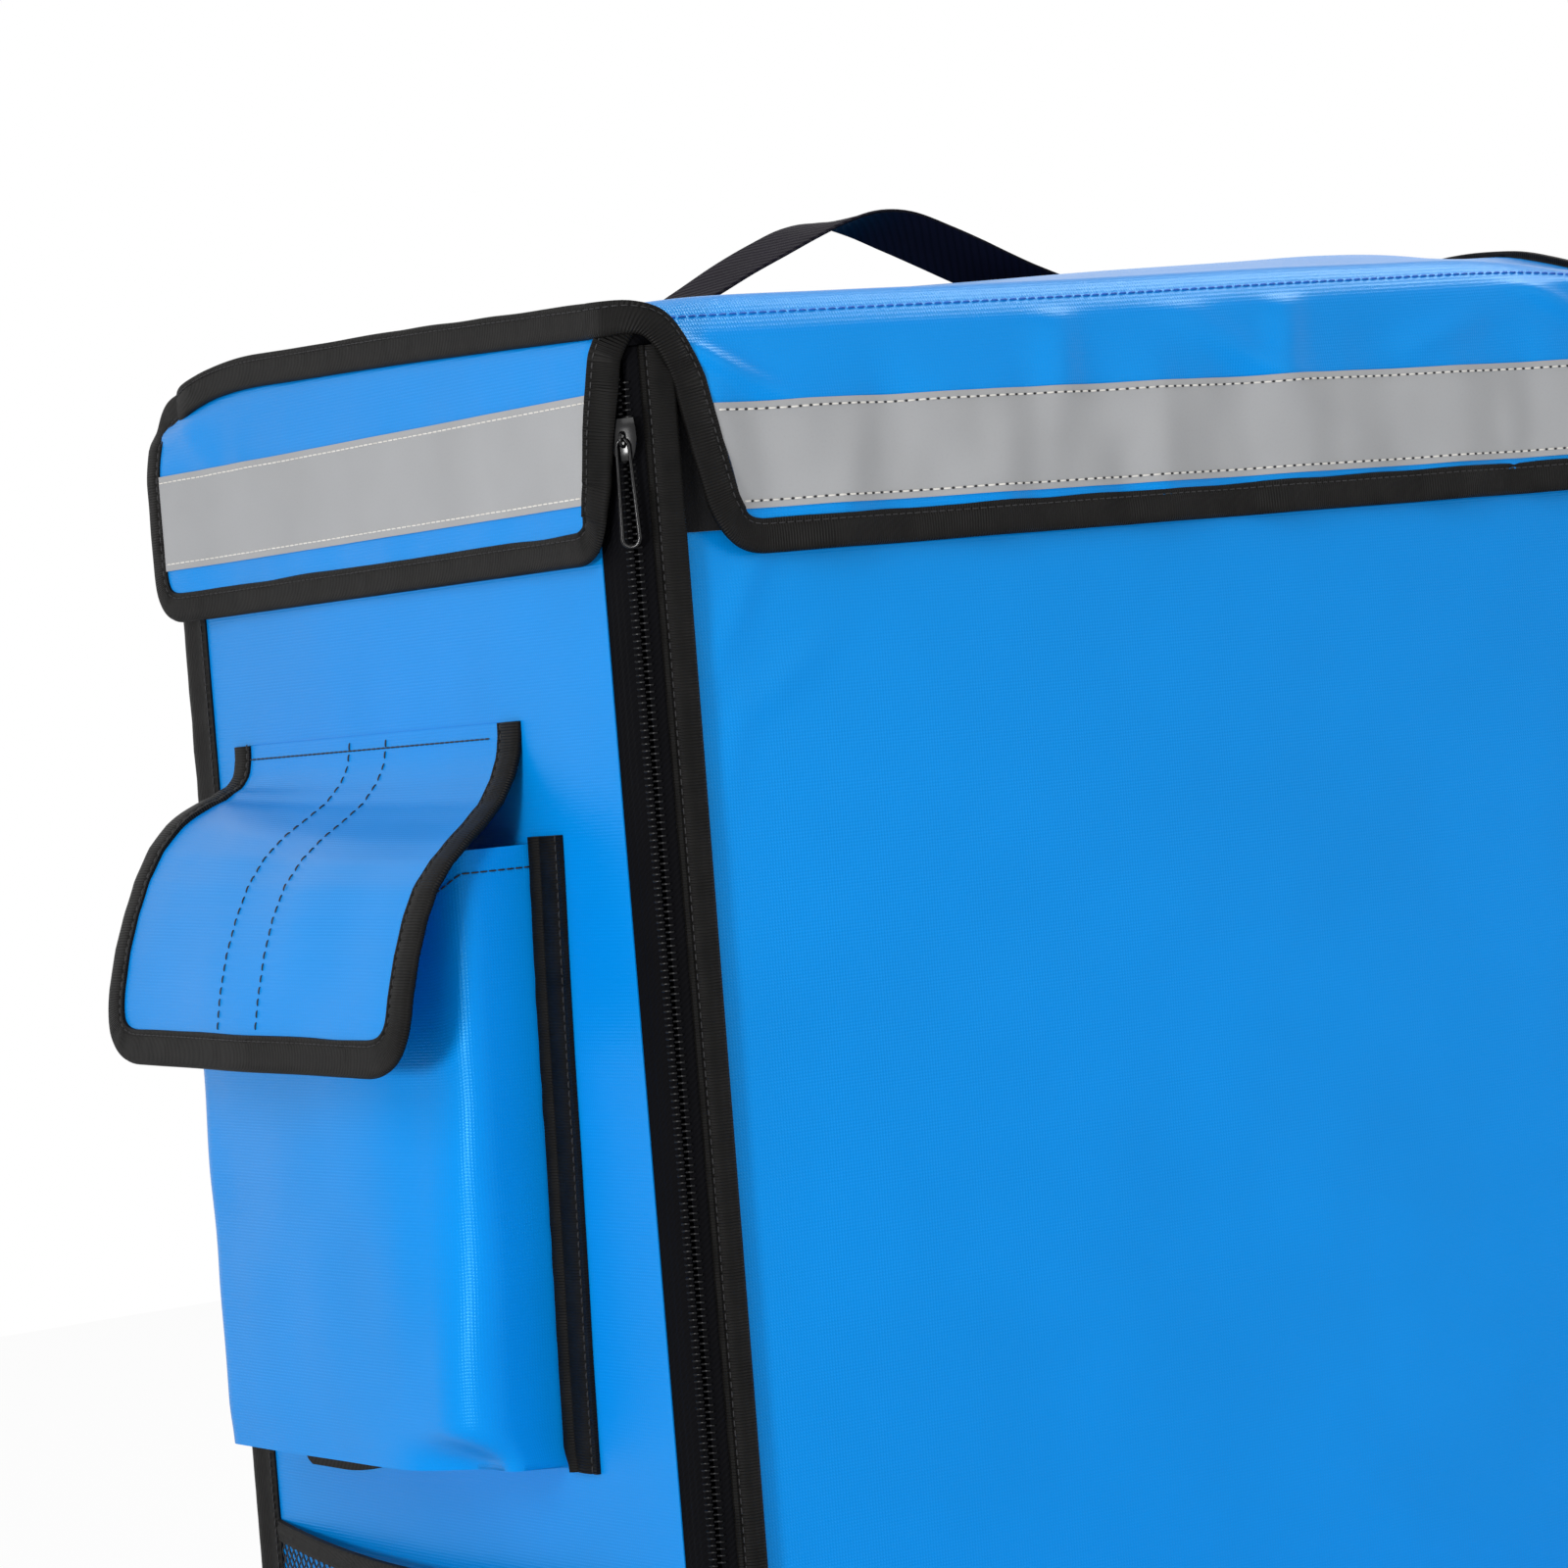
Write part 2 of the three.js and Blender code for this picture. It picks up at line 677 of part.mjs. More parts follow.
// Plan of the pocket, with its gussets leaning in from the wall to the face
function pocketPlan(trim, wallEnd) {
  const low = -halfDepth + pocketFront + trim;
  const high = -halfDepth + pocketFront + pocketWide - trim;
  const face = -halfWidth - seat - pocketDeep + trim;
  return [point(wallEnd, low), point(face, low + frontGussetLean),
    point(face, high - backGussetLean), point(wallEnd, high)];
}

// Flapped pocket: one sheet folded to a front, two gussets and a floor, open at the wall
function phonePocket() {
  const wall = -halfWidth - seat;
  const low = bagHeight - pocketFootDrop;
  const high = bagHeight - pocketTopDrop;
  const outside = toSolid(prism(pocketPlan(0, wall), "z", low, high));
  const inside = toSolid(prism(pocketPlan(pocketCloth, wall + overrun), "z",
    low + pocketCloth, high + overrun));
  return piece("phone_pocket", toGeometry(outside.subtract(inside)), "blueCloth");
}

// Bindings where the gussets meet the wall
function pocketBinding(name, low) {
  const wall = -halfWidth - seat;
  return slab(name, [wall - bindThick, wall], [low, low + pocketBindWide],
    [bagHeight - pocketFootDrop, bagHeight - pocketTopDrop + pocketBindRise], "blackTape");
}

// The pocket flap's S in side view, as (out of the wall, height)
function pocketFlapRun() {
  const start = -halfWidth - seat - pocketFlapBindThick / 2;
  const top = bagHeight - pocketFlapDrop;
  return bezier(point(start, top), point(start, top - pocketFlapLong * flapNeckShare),
    point(start - pocketFlapOut * flapReachShare, top - pocketFlapLong * flapShoulderShare),
    point(start - pocketFlapOut, top - pocketFlapLong), curveSteps);
}

// The S-shaped sheet, cut to an outline seen from the side of the bag
function pocketFlapSheet(name, thickness, outline, finish) {
  const y = [-halfDepth + pocketFlapFront, -halfDepth + pocketFlapFront + pocketFlapWide];
  const sheet = toSolid(prism(swapped(ribbon(pocketFlapRun(), thickness)), "y", y[0], y[1]));
  const far = -halfWidth - pocketFlapOut - pocketFlapBindThick - overrun;
  const cutter = toSolid(prism(outline, "x", far, -halfWidth + overrun));
  return piece(name, toGeometry(sheet.intersect(cutter)), finish);
}

function pocketFlap() {
  const low = -halfDepth + pocketFlapFront;
  const high = low + pocketFlapWide;
  const top = bagHeight - pocketFlapDrop;
  const rim = (inset, rise) => hangingEdge(low, high, top + rise, pocketFlapLong + rise,
    [0, 0], pocketFlapCorner, inset);
  const cloth = rim(pocketFlapBind + seat, seat);
  const ring = rim(0, seat).concat(rim(pocketFlapBind, seat).reverse());
  return [
    pocketFlapSheet("pocket_flap", pocketFlapThick, cloth, "blueCloth"),
    pocketFlapSheet("pocket_flap_binding", pocketFlapBindThick, ring, "blackTape"),
  ];
}

// Plan of a bulging pocket against a side wall, from its front end to its back end
function bulge(side, wallOffset, deep, trim) {
  const half = meshWide / 2;
  const middle = -halfDepth + meshFront + half;
  const run = [];
  for (let k = 0; k <= bulgeSteps; k += 1) {
    const share = (2 * k) / bulgeSteps - 1;
    run.push(point(side * (halfWidth + wallOffset + deep * (1 - share * share)),
      middle + (half - trim) * share));
  }
  return run;
}

// Mesh pocket: a bulging net with a floor, open at the top and towards the wall
function meshPocket(side, name) {
  const outside = toSolid(prism(bulge(side, seat, meshDeep, 0), "z",
    meshFoot, meshTop - meshHem - seat));
  const inside = toSolid(prism(bulge(side, -overrun, meshDeep + overrun + seat - meshThick, meshEnd),
    "z", meshFoot + meshThick, meshTop + overrun));
  return piece(`${name}_mesh_pocket`, toGeometry(outside.subtract(inside)), "netting");
}

function meshPocketHem(side, name) {
  const outside = toSolid(prism(bulge(side, seat, meshDeep, 0), "z", meshTop - meshHem, meshTop));
  const inside = toSolid(prism(bulge(side, -overrun, meshDeep + overrun + seat - meshThick, meshEnd),
    "z", meshTop - meshHem - overrun, meshTop + overrun));
  return piece(`${name}_mesh_hem`, toGeometry(outside.subtract(inside)), "blackTape");
}

function backPad() {
  return slab("back_pad", [-padWide / 2, padWide / 2],
    [halfDepth + seat, halfDepth + seat + padThick], [padFoot, padTop], "airMesh");
}

// Padded shoulder strap, ladder lock and the webbing back to the bag's foot, as they hang
function harness(side, name) {
  const middle = (side * strapApart) / 2;
  const back = halfDepth + seat;
  const curve = bezier(point(back + strapThick, strapTop), point(back + strapReach, strapTop),
    point(back + strapBelly, strapBellyHeight),
    point(back + strapEndOut, strapEndHeight + strapTail), curveSteps);
  const run = [point(back, strapTop), ...curve, point(back + strapEndOut, strapEndHeight)];
  const strap = prism(ribbon(run, strapThick), "x", middle - strapWide / 2, middle + strapWide / 2);
  const lockY = back + strapEndOut;
  const lockTop = strapEndHeight - seat;
  const x = [middle - lockWide / 2, middle + lockWide / 2];
  const y = [lockY - lockThick / 2, lockY + lockThick / 2];
  const slot = [middle - lockSlotWide / 2, middle + lockSlotWide / 2];
  const slotThrough = [y[0] - overrun, y[1] + overrun];
  const rib = (lockHigh - 2 * lockSlotHigh) / 3;
  const lowSlot = lockTop - lockHigh + rib;
  const highSlot = lowSlot + lockSlotHigh + rib;
  const lock = block(x, y, [lockTop - lockHigh, lockTop])
    .subtract(block(slot, slotThrough, [lowSlot, lowSlot + lockSlotHigh]))
    .subtract(block(slot, slotThrough, [highSlot, highSlot + lockSlotHigh]));
  const webTop = lockTop - lockHigh - seat;
  const webBack = back + webThick / 2;
  const web = ribbon([
    point(webBack, webFoot), point(webBack, webFoot + webFlat),
    point(lockY, webTop - webFlat), point(lockY, webTop),
  ], webThick);
  return [
    piece(`${name}_shoulder_strap`, strap, "airMesh"),
    piece(`${name}_ladder_lock`, toGeometry(lock), "acetal"),
    piece(`${name}_strap_webbing`, prism(web, "x", middle - webWide / 2, middle + webWide / 2),
      "webbing"),
  ];
}

// The bag stands wider at its foot: each point moves out by its share of the spread
function spread(mesh) {
  mesh.updateMatrix();
  const places = mesh.geometry.applyMatrix4(mesh.matrix).attributes.position;
  mesh.position.set(0, 0, 0);
  for (let i = 0; i < places.count; i += 1) {
    const fallShare = Math.max(0, 1 - places.getZ(i) / bagHeight);
    places.setX(i, places.getX(i) * (1 + (footSpread / halfWidth) * fallShare));
  }
}

const bag = new THREE.Group();
bag.name = "food_delivery_backpack";
bag.add(...baseWall(), ...backWall(), ...frontWall(), ...lidWall(), frontLoopStrip());
bag.add(frontFlap(), frontFlapBinding(), frontReflector(), topHandle(), backPad());
bag.add(phonePocket(), ...pocketFlap());
bag.add(pocketBinding("pocket_binding_front", -halfDepth + pocketFront - seat - pocketBindWide));
bag.add(pocketBinding("pocket_binding_back", -halfDepth + pocketFront + pocketWide + seat));
for (const [side, name] of [[-1, "left"], [1, "right"]]) {
  bag.add(...sideWall(side, name));
  bag.add(zipHalf(side, `${name}_zip_wall_half`, true));
  bag.add(zipHalf(side, `${name}_zip_door_half`, false));
  bag.add(slider(side, `${name}_slider`), pull(side, `${name}_puller`));
  bag.add(frontBinding(side, `front_binding_${name}`), backBinding(side, `back_binding_${name}`));
  bag.add(sideFlap(side, name), sideFlapBinding(side, name), sideReflector(side, name));
  bag.add(lidBinding(side, `lid_binding_${name}`));
  bag.add(meshPocket(side, name), meshPocketHem(side, name));
  bag.add(...harness(side, name));
}
bag.children.forEach(spread);

export default bag;
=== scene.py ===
"""Dresses the food delivery bag: cloth, bindings, zips, pockets and straps over its frame.

Sizes are in millimetres in the bag's own frame: x along the front, y from the front to the
back, z up, with the lid's flat edge at HEIGHT. They become metres where a mesh is made, and
there the bag widens towards its foot, by the same rule as in its CAD source.
"""

import logging
import math
from collections.abc import Callable, Iterable, Sequence
from dataclasses import dataclass, field
from enum import Enum

import bmesh
import bpy
from bpy.types import Material, Node, NodeSocket, NodeTree, Object, Scene
from mathutils import Matrix, Vector, noise


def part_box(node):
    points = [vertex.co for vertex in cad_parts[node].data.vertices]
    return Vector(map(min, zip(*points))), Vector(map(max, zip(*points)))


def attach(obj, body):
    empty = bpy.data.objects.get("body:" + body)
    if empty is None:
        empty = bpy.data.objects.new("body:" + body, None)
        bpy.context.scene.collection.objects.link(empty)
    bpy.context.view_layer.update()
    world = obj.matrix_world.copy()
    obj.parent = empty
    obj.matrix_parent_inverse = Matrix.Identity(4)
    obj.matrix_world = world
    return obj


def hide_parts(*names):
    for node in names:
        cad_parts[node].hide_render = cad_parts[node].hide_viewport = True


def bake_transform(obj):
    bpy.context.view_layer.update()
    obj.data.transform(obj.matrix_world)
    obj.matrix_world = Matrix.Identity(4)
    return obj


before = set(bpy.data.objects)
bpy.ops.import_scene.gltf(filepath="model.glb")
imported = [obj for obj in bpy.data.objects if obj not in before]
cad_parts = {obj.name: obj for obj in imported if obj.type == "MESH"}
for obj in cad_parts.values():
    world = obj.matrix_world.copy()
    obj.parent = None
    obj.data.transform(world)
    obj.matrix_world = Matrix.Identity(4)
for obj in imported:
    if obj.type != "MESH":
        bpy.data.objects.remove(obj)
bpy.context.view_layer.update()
log = logging.getLogger("bag")

# Sizes of the box that the pieces share, in millimetres.
MM = 0.001
HEIGHT = 550.0
HALF_WIDE = 248.0
HALF_DEEP = 171.5
FOOT_SPREAD = 7.0
LID_HALF = 253.0
LID_FRONT = -176.5
FRONT_RADIUS = 14.0
BACK_RADIUS = 7.0
WALL_FOOT = 10.9
WALL_TOP = 539.1
QUARTER = FRONT_RADIUS * math.pi / 4
UP = Vector((0.0, 0.0, 1.0))

# Sewing: how far a cloth ends inside its binding, how high a binding's middle and a thread lie
# on a cloth and on a tape, and how far from a tape's edge its stitches run.
TRIM = 1.2
SUNK = -0.55
ON_CLOTH = 0.25
ON_TAPE = 0.8
TAPE_EDGE = 2.6

# The angle in degrees from which an edge stays sharp, on tapes and on moulded pieces.
TAPE_CREASE = 60
MOULD_CREASE = 35

Flat = tuple[float, float]
Spot = tuple[float, float, float]


class Side(Enum):
    """The bag's two sides, as the sign of x."""

    LEFT = -1
    RIGHT = 1

    @property
    def label(self) -> str:
        """The side's word in node names."""
        return self.name.lower()


class Pattern(Enum):
    """How a surface's relief is made."""

    WEAVE = "two crossing thread systems"
    RIBS = "ribs across the length"
    TWILL = "diagonal ribs"
    GRAIN = "fine grain"
    CELLS = "closed cells"
    HOLES = "knitted holes"
    CRINKLE = "crumpled foil"


# Numbers and curves


def clamp(value: float, low: float = 0.0, high: float = 1.0) -> float:
    """The value kept between two limits."""
    return max(low, min(high, value))


def ease(share: float) -> float:
    """A share from 0 to 1 with soft ends."""
    share = clamp(share)
    return share * share * (3 - 2 * share)


def mix(low: float, high: float, share: float) -> float:
    """The value at a share of the way from low to high."""
    return low + (high - low) * share


def shared(low: float, high: float, count: int) -> list[float]:
    """The values that part the way from low to high into a count of equal steps."""
    return [mix(low, high, i / count) for i in range(count + 1)]


def spaced(low: float, high: float, step: float) -> list[float]:
    """Evenly spaced values from low to high, about a step apart."""
    return shared(low, high, max(1, round(abs(high - low) / step)))


def soft_noise(across: float, down: float, size: float, seed: float) -> float:
    """Smooth noise between -1 and 1 whose bumps are about a size apart."""
    return noise.noise(Vector((across / size, down / size, seed)))


@dataclass(frozen=True)
class Through:
    """A smooth curve through measured pairs of place and value."""

    pairs: tuple[Flat, ...]

    def at(self, place: float) -> float:
        """The value at a place, held level past either end.

        Args:
            place: Where the value is asked for.

        Returns:
            The value there, on cubic pieces with no overshoot between equal neighbours.
        """
        pairs = self.pairs
        if place <= pairs[0][0]:
            return pairs[0][1]
        if place >= pairs[-1][0]:
            return pairs[-1][1]
        i = next(k for k in range(len(pairs) - 1) if place <= pairs[k + 1][0])
        (x0, y0), (x1, y1) = pairs[i], pairs[i + 1]
        step = x1 - x0
        slope = (y1 - y0) / step
        before = (y0 - pairs[i - 1][1]) / (x0 - pairs[i - 1][0]) if i else slope
        after = (pairs[i + 2][1] - y1) / (pairs[i + 2][0] - x1) if i + 2 < len(pairs) else slope
        m0 = (before + slope) / 2 * step
        m1 = (after + slope) / 2 * step
        t = (place - x0) / step
        return ((2 * t ** 3 - 3 * t ** 2 + 1) * y0 + (t ** 3 - 2 * t ** 2 + t) * m0
                + (3 * t ** 2 - 2 * t ** 3) * y1 + (t ** 3 - t ** 2) * m1)


def resampled(path: Sequence[Flat], step: float) -> list[Flat]:
    """The same line with points a step apart."""
    places = [Vector(p) for p in path]
    out = [path[0]]
    for here, there in zip(places, places[1:]):
        count = max(1, round((there - here).length / step))
        out += [tuple(here.lerp(there, k / count)) for k in range(1, count + 1)]
    return out


def rounded(corners: Sequence[Flat], radii: Sequence[float], step: float) -> list[Flat]:
    """An open line through corners, with each inner corner rounded.

    Args:
        corners: The line's ends and corners.
        radii: One radius for each inner corner.
        step: The distance between points.

    Returns:
        The points along the line.
    """
    line = [Vector(corners[0])]
    for i, radius in enumerate(radii, 1):
        here = Vector(corners[i])
        back = (Vector(corners[i - 1]) - here).normalized()
        ahead = (Vector(corners[i + 1]) - here).normalized()
        half = math.acos(clamp(back.dot(ahead), -1, 1)) / 2
        reach = radius / math.tan(half)
        first, last = here + back * reach, here + ahead * reach
        turns = max(3, round(radius / step * 1.6))
        for k in range(turns + 1):
            t = k / turns
            line.append(first.lerp(here, t).lerp(here.lerp(last, t), t))
    line.append(Vector(corners[-1]))
    return resampled([tuple(p) for p in line], step)


def point_on(line: Sequence[Flat], far: float) -> Flat:
    """The point at a distance along a line whose points are one apart."""
    spot = clamp(far, 0.0, len(line) - 1.001)
    i = int(spot)
    return tuple(mix(here, there, spot - i) for here, there in zip(line[i], line[i + 1]))


def round_box(half: float, front: float, back: float, radii: Sequence[float], step: float) -> list[Flat]:
    """A closed outline with rounded corners, from the front's middle round by the left."""
    return rounded([(0, front), (-half, front), (-half, back), (half, back), (half, front),
                    (0, front)], radii, step)[:-1]


# Meshes


def spread_out(place: Vector) -> Vector:
    """A point moved out as the bag widens towards its foot."""
    share = max(0.0, 1 - place.z / HEIGHT)
    return Vector((place.x * (1 + FOOT_SPREAD / HALF_WIDE * share), place.y, place.z))


@dataclass
class Shape:
    """Points with their flat places, and faces, gathered before they become one mesh."""

    points: list[Vector] = field(default_factory=list)
    flats: list[Flat] = field(default_factory=list)
    faces: list[tuple[int, ...]] = field(default_factory=list)
    spreads: bool = True
    merges: bool = False

    def add(self, points: Iterable[Vector], faces: Iterable[Sequence[int]],
            flats: Iterable[Flat] | None = None) -> None:
        """Adds a part whose faces count from its own first point."""
        start = len(self.points)
        points = list(points)
        self.points += points
        self.flats += list(flats) if flats is not None else [(p.x, p.y) for p in points]
        self.faces += [tuple(start + i for i in face) for face in faces]

    def make(self, name: str, finish: "Finish", crease: float = 40.0) -> Object:
        """Makes the object, in metres.

        Args:
            name: The piece's name.
            finish: Its finish.
            crease: The angle in degrees from which an edge stays sharp.

        Returns:
            The new object at the origin, with its place in its mesh.
        """
        mesh = bpy.data.meshes.new(name)
        places = [spread_out(p) for p in self.points] if self.spreads else self.points
        mesh.from_pydata([p * MM for p in places], [], self.faces)
        layer = mesh.uv_layers.new(name="flat")
        for loop in mesh.loops:
            across, down = self.flats[loop.vertex_index]
            layer.data[loop.index].uv = (across * MM, down * MM)
        work = bmesh.new()
        work.from_mesh(mesh)
        if self.merges:
            bmesh.ops.remove_doubles(work, verts=work.verts, dist=0.01 * MM)
        bmesh.ops.recalc_face_normals(work, faces=work.faces)
        work.to_mesh(mesh)
        work.free()
        mesh.materials.append(finish.material())
        mesh.shade_smooth()
        mesh.set_sharp_from_angle(angle=math.radians(crease))
        thing = bpy.data.objects.new(name, mesh)
        bpy.context.scene.collection.objects.link(thing)
        log.info("%s: %d faces", name, len(mesh.polygons))
        return thing

    def dress(self, name: str, finish: "Finish", mount: "Mount", slot: str, *nodes: str,
              crease: float = 40.0) -> Object:
        """Makes the piece and puts it on what carries it, hiding its CAD nodes."""
        return mount.put(self.make(name, finish, crease), slot, *nodes)


class Skin:
    """A surface that is given by two flat distances, in millimetres.

    On the right side its outer face looks the way that across and down turn, on the left the
    other way.
    """

    side = Side.RIGHT

    def place(self, across: float, down: float) -> Vector:
        """The point at a flat place."""
        raise NotImplementedError

    def out(self, across: float, down: float, reach: float = 0.6) -> Vector:
        """The direction that the outer face looks in."""
        over = self.place(across + reach, down) - self.place(across - reach, down)
        along = self.place(across, down + reach) - self.place(across, down - reach)
        return (over.cross(along) * self.side.value).normalized()


@dataclass(frozen=True)
class Raised(Skin):
    """Another skin with a relief of its own."""

    base: Skin
    rise: Callable[[float, float], float]

    @property
    def side(self) -> Side:
        """The side that its base is on."""
        return self.base.side

    def place(self, across: float, down: float) -> Vector:
        """The point at a flat place."""
        return self.base.place(across, down) + self.base.out(across, down) * self.rise(across, down)


def cut_area(rows: Sequence[Sequence[Flat]]) -> float:
    """The area of the flat cut, in square millimetres."""
    total = 0.0
    for row, after in zip(rows, rows[1:]):
        for i in range(len(row) - 1):
            loop = (row[i], row[i + 1], after[i + 1], after[i])
            total += abs(sum(a[0] * b[1] - b[0] * a[1] for a, b in zip(loop, loop[1:] + loop[:1]))) / 2
    return total


def layer_faces(rows: int, cols: int) -> list[tuple[int, ...]]:
    """Faces of a sheet's two layers and its rim, for front points and then back points."""
    back = rows * cols
    faces = []
    for r in range(rows - 1):
        for c in range(cols - 1):
            i = r * cols + c
            quad = (i, i + 1, i + cols + 1, i + cols)
            faces.append(quad)
            faces.append(tuple(back + k for k in reversed(quad)))
    rim = list(range(cols)) + [r * cols + cols - 1 for r in range(1, rows)]
    rim += [(rows - 1) * cols + c for c in range(cols - 2, -1, -1)]
    rim += [r * cols for r in range(rows - 2, 0, -1)]
    for here, there in zip(rim, rim[1:] + rim[:1]):
        faces.append((there, here, back + here, back + there))
    return faces


@dataclass
class Sheet:
    """A cloth with thickness that lies on a skin, cut to rows of flat places."""

    name: str
    skin: Skin
    rows: list[list[Flat]]
    thick: float = 1.0
    lift: float = 0.0

    def dress(self, finish: "Finish", mount: "Mount", slot: str, *nodes: str, held: str,
              rests_on: str, trim: Sequence[Object] = (),
              crease: float = 50.0) -> Object:
        """Makes the closed sheet and mounts it.

        Args:
            finish: Its finish.
            mount: What carries it.
            slot: The name of its material slot; not used.
            nodes: The CAD nodes that it stands for.
            held: How it is held; not used.
            rests_on: The piece or CAD node that it rests on; not used.
            trim: The bindings and threads that are sewn to it; not used.
            crease: The angle in degrees from which an edge stays sharp.

        Returns:
            The new object.
        """
        shape = Shape()
        flats = [flat for row in self.rows for flat in row]
        outs = [self.skin.out(*flat) for flat in flats]
        bare = [self.skin.place(*flat) for flat in flats]
        points = [p + n * self.lift for p, n in zip(bare, outs)]
        points += [p + n * (self.lift - self.thick) for p, n in zip(bare, outs)]
        shape.add(points, layer_faces(len(self.rows), len(self.rows[0])), flats + flats)
        thing = shape.dress(self.name, finish, mount, slot, *nodes, crease=crease)
        wide, long = (max(f[k] for f in flats) - min(f[k] for f in flats) for k in (0, 1))
        area = min(cut_area(self.rows), wide * long)
        return thing


def grid(across: Sequence[float], down: Sequence[float]) -> list[list[Flat]]:
    """Rows of flat places over a rectangle."""
    return [[(a, d) for a in across] for d in down]


@dataclass(frozen=True)
class Station:
    """A place on a run, with the directions across the run and out of it."""

    place: Vector
    across: Vector
    out: Vector

    def moved(self, across: float, out: float) -> "Station":
        """The station moved across the run and out of it."""
        return Station(self.place + self.across * across + self.out * out, self.across, self.out)


def smoothed(stations: list[Station], passes: int, closed: bool) -> list[Station]:
    """Stations whose directions turn gently along the run."""
    for _ in range(passes):
        fresh = []
        last = len(stations) - 1
        for i, station in enumerate(stations):
            if not closed and i in (0, last):
                fresh.append(station)
                continue
            before, after = stations[i - 1], stations[(i + 1) % len(stations)]
            out = (before.out + station.out * 2 + after.out).normalized()
            across = before.across + station.across * 2 + after.across
            fresh.append(Station(station.place, (across - out * across.dot(out)).normalized(), out))
        stations = fresh
    return stations


def seam(skin: Skin, path: Sequence[Flat], turn: float, lift: float = 0.0) -> list[Station]:
    """Stations along a flat path on a skin, with across pointing to one side of it.

    Args:
        skin: What the path lies on.
        path: Flat places, closely spaced.
        turn: 1 or -1, for the side of the path that across points to.
        lift: How far the run stands off the skin.

    Returns:
        One station for each place of the path.
    """
    places = [skin.place(*flat) for flat in path]
    stations = []
    for i, flat in enumerate(path):
        out = skin.out(*flat)
        along = places[min(i + 1, len(path) - 1)] - places[max(i - 1, 0)]
        along = (along - out * along.dot(out)).normalized()
        stations.append(Station(places[i] + out * lift, out.cross(along) * turn, out))
    return stations


def sweep(shape: Shape, stations: Sequence[Station],
          profile: Callable[[int, float], list[Flat]], closed: bool = False) -> None:
    """Adds a closed profile swept along stations.

    Args:
        shape: What it is added to.
        stations: The run.
        profile: Gives (across, out) pairs for a station's index and its distance along.
        closed: True where the run ends where it starts.
    """
    points: list[Vector] = []
    flats: list[Flat] = []
    far = 0.0
    for i, station in enumerate(stations):
        if i:
            far += (station.place - stations[i - 1].place).length
        loop = profile(i, far)
        girth = 0.0
        for k, (across, out) in enumerate(loop):
            if k:
                girth += math.dist(loop[k], loop[k - 1])
            points.append(station.place + station.across * across + station.out * out)
            flats.append((far, girth))
    ring = len(loop)
    runs = len(stations)
    faces = []
    for i in range(runs if closed else runs - 1):
        j = (i + 1) % runs
        for k in range(ring):
            n = (k + 1) % ring
            faces.append((i * ring + k, i * ring + n, j * ring + n, j * ring + k))
    if not closed:
        faces.append(tuple(range(ring)))
        faces.append(tuple(reversed(range((runs - 1) * ring, runs * ring))))
    shape.add(points, faces, flats)


def swept(stations: Sequence[Station], profile: Callable[[int, float], list[Flat]],
          closed: bool = False) -> Shape:
    """A shape that is one profile swept along stations."""
    shape = Shape()
    sweep(shape, stations, profile, closed)
    return shape


def headings(places: Sequence[Vector]) -> list[Vector]:
    """The direction of a line at each of its places."""
    last = len(places) - 1
    return [(places[min(i + 1, last)] - places[max(i - 1, 0)]).normalized() for i in range(last + 1)]


def flat_strap(half: float, deep: float) -> list[Flat]:
    """The section of a woven strap, with thick edges and a slightly thinner middle."""
    upper = [(-half, 0.0), (-half + 0.5, deep * 0.85), (-half / 2, deep), (0, deep * 0.85),
             (half / 2, deep), (half - 0.5, deep * 0.85)]
    return upper + [(-across, -out) for across, out in upper]


@dataclass(frozen=True)
class Binding:
    """A tape folded over a sheet's bare edge and sewn through."""

    wide: float = 13.0
    half_thick: float = 1.7
    waves: float = 0.35
    stitch_inset: float = 2.2
    seed: float = 0.0

    def profile(self, index: int, far: float) -> list[Flat]:
        """The folded tape's section at a distance along, puckered by its sewing."""
        pucker = self.waves * soft_noise(far, 0.0, 7.0, self.seed)
        roll = 1 + 0.16 * soft_noise(far, 3.0, 26.0, self.seed + 4)
        wide = self.wide + 0.7 * soft_noise(far, 5.0, 34.0, self.seed + 8)
        high = self.half_thick * roll
        groove = wide - self.stitch_inset
        front = [(wide, 0.55), (wide - 0.25, high * 0.82), (groove + 0.9, high * 0.9 + pucker),
                 (groove, high * 0.66), (groove - 1.0, high * 0.95 + pucker),
                 (wide * 0.52, high * 1.06 + pucker), (wide * 0.27, high * 1.02 + pucker * 0.6),
                 (1.3, high * 0.9), (0.35, high * 0.55)]
        back = [(a, -o * 0.92) for a, o in reversed(front)]
        return front + [(-0.15, 0.0)] + back

    def thread(self, stations: Sequence[Station]) -> list[Station]:
        """The line of its stitches, on the outer face."""
        return [s.moved(self.wide - self.stitch_inset, self.half_thick * 0.72) for s in stations]


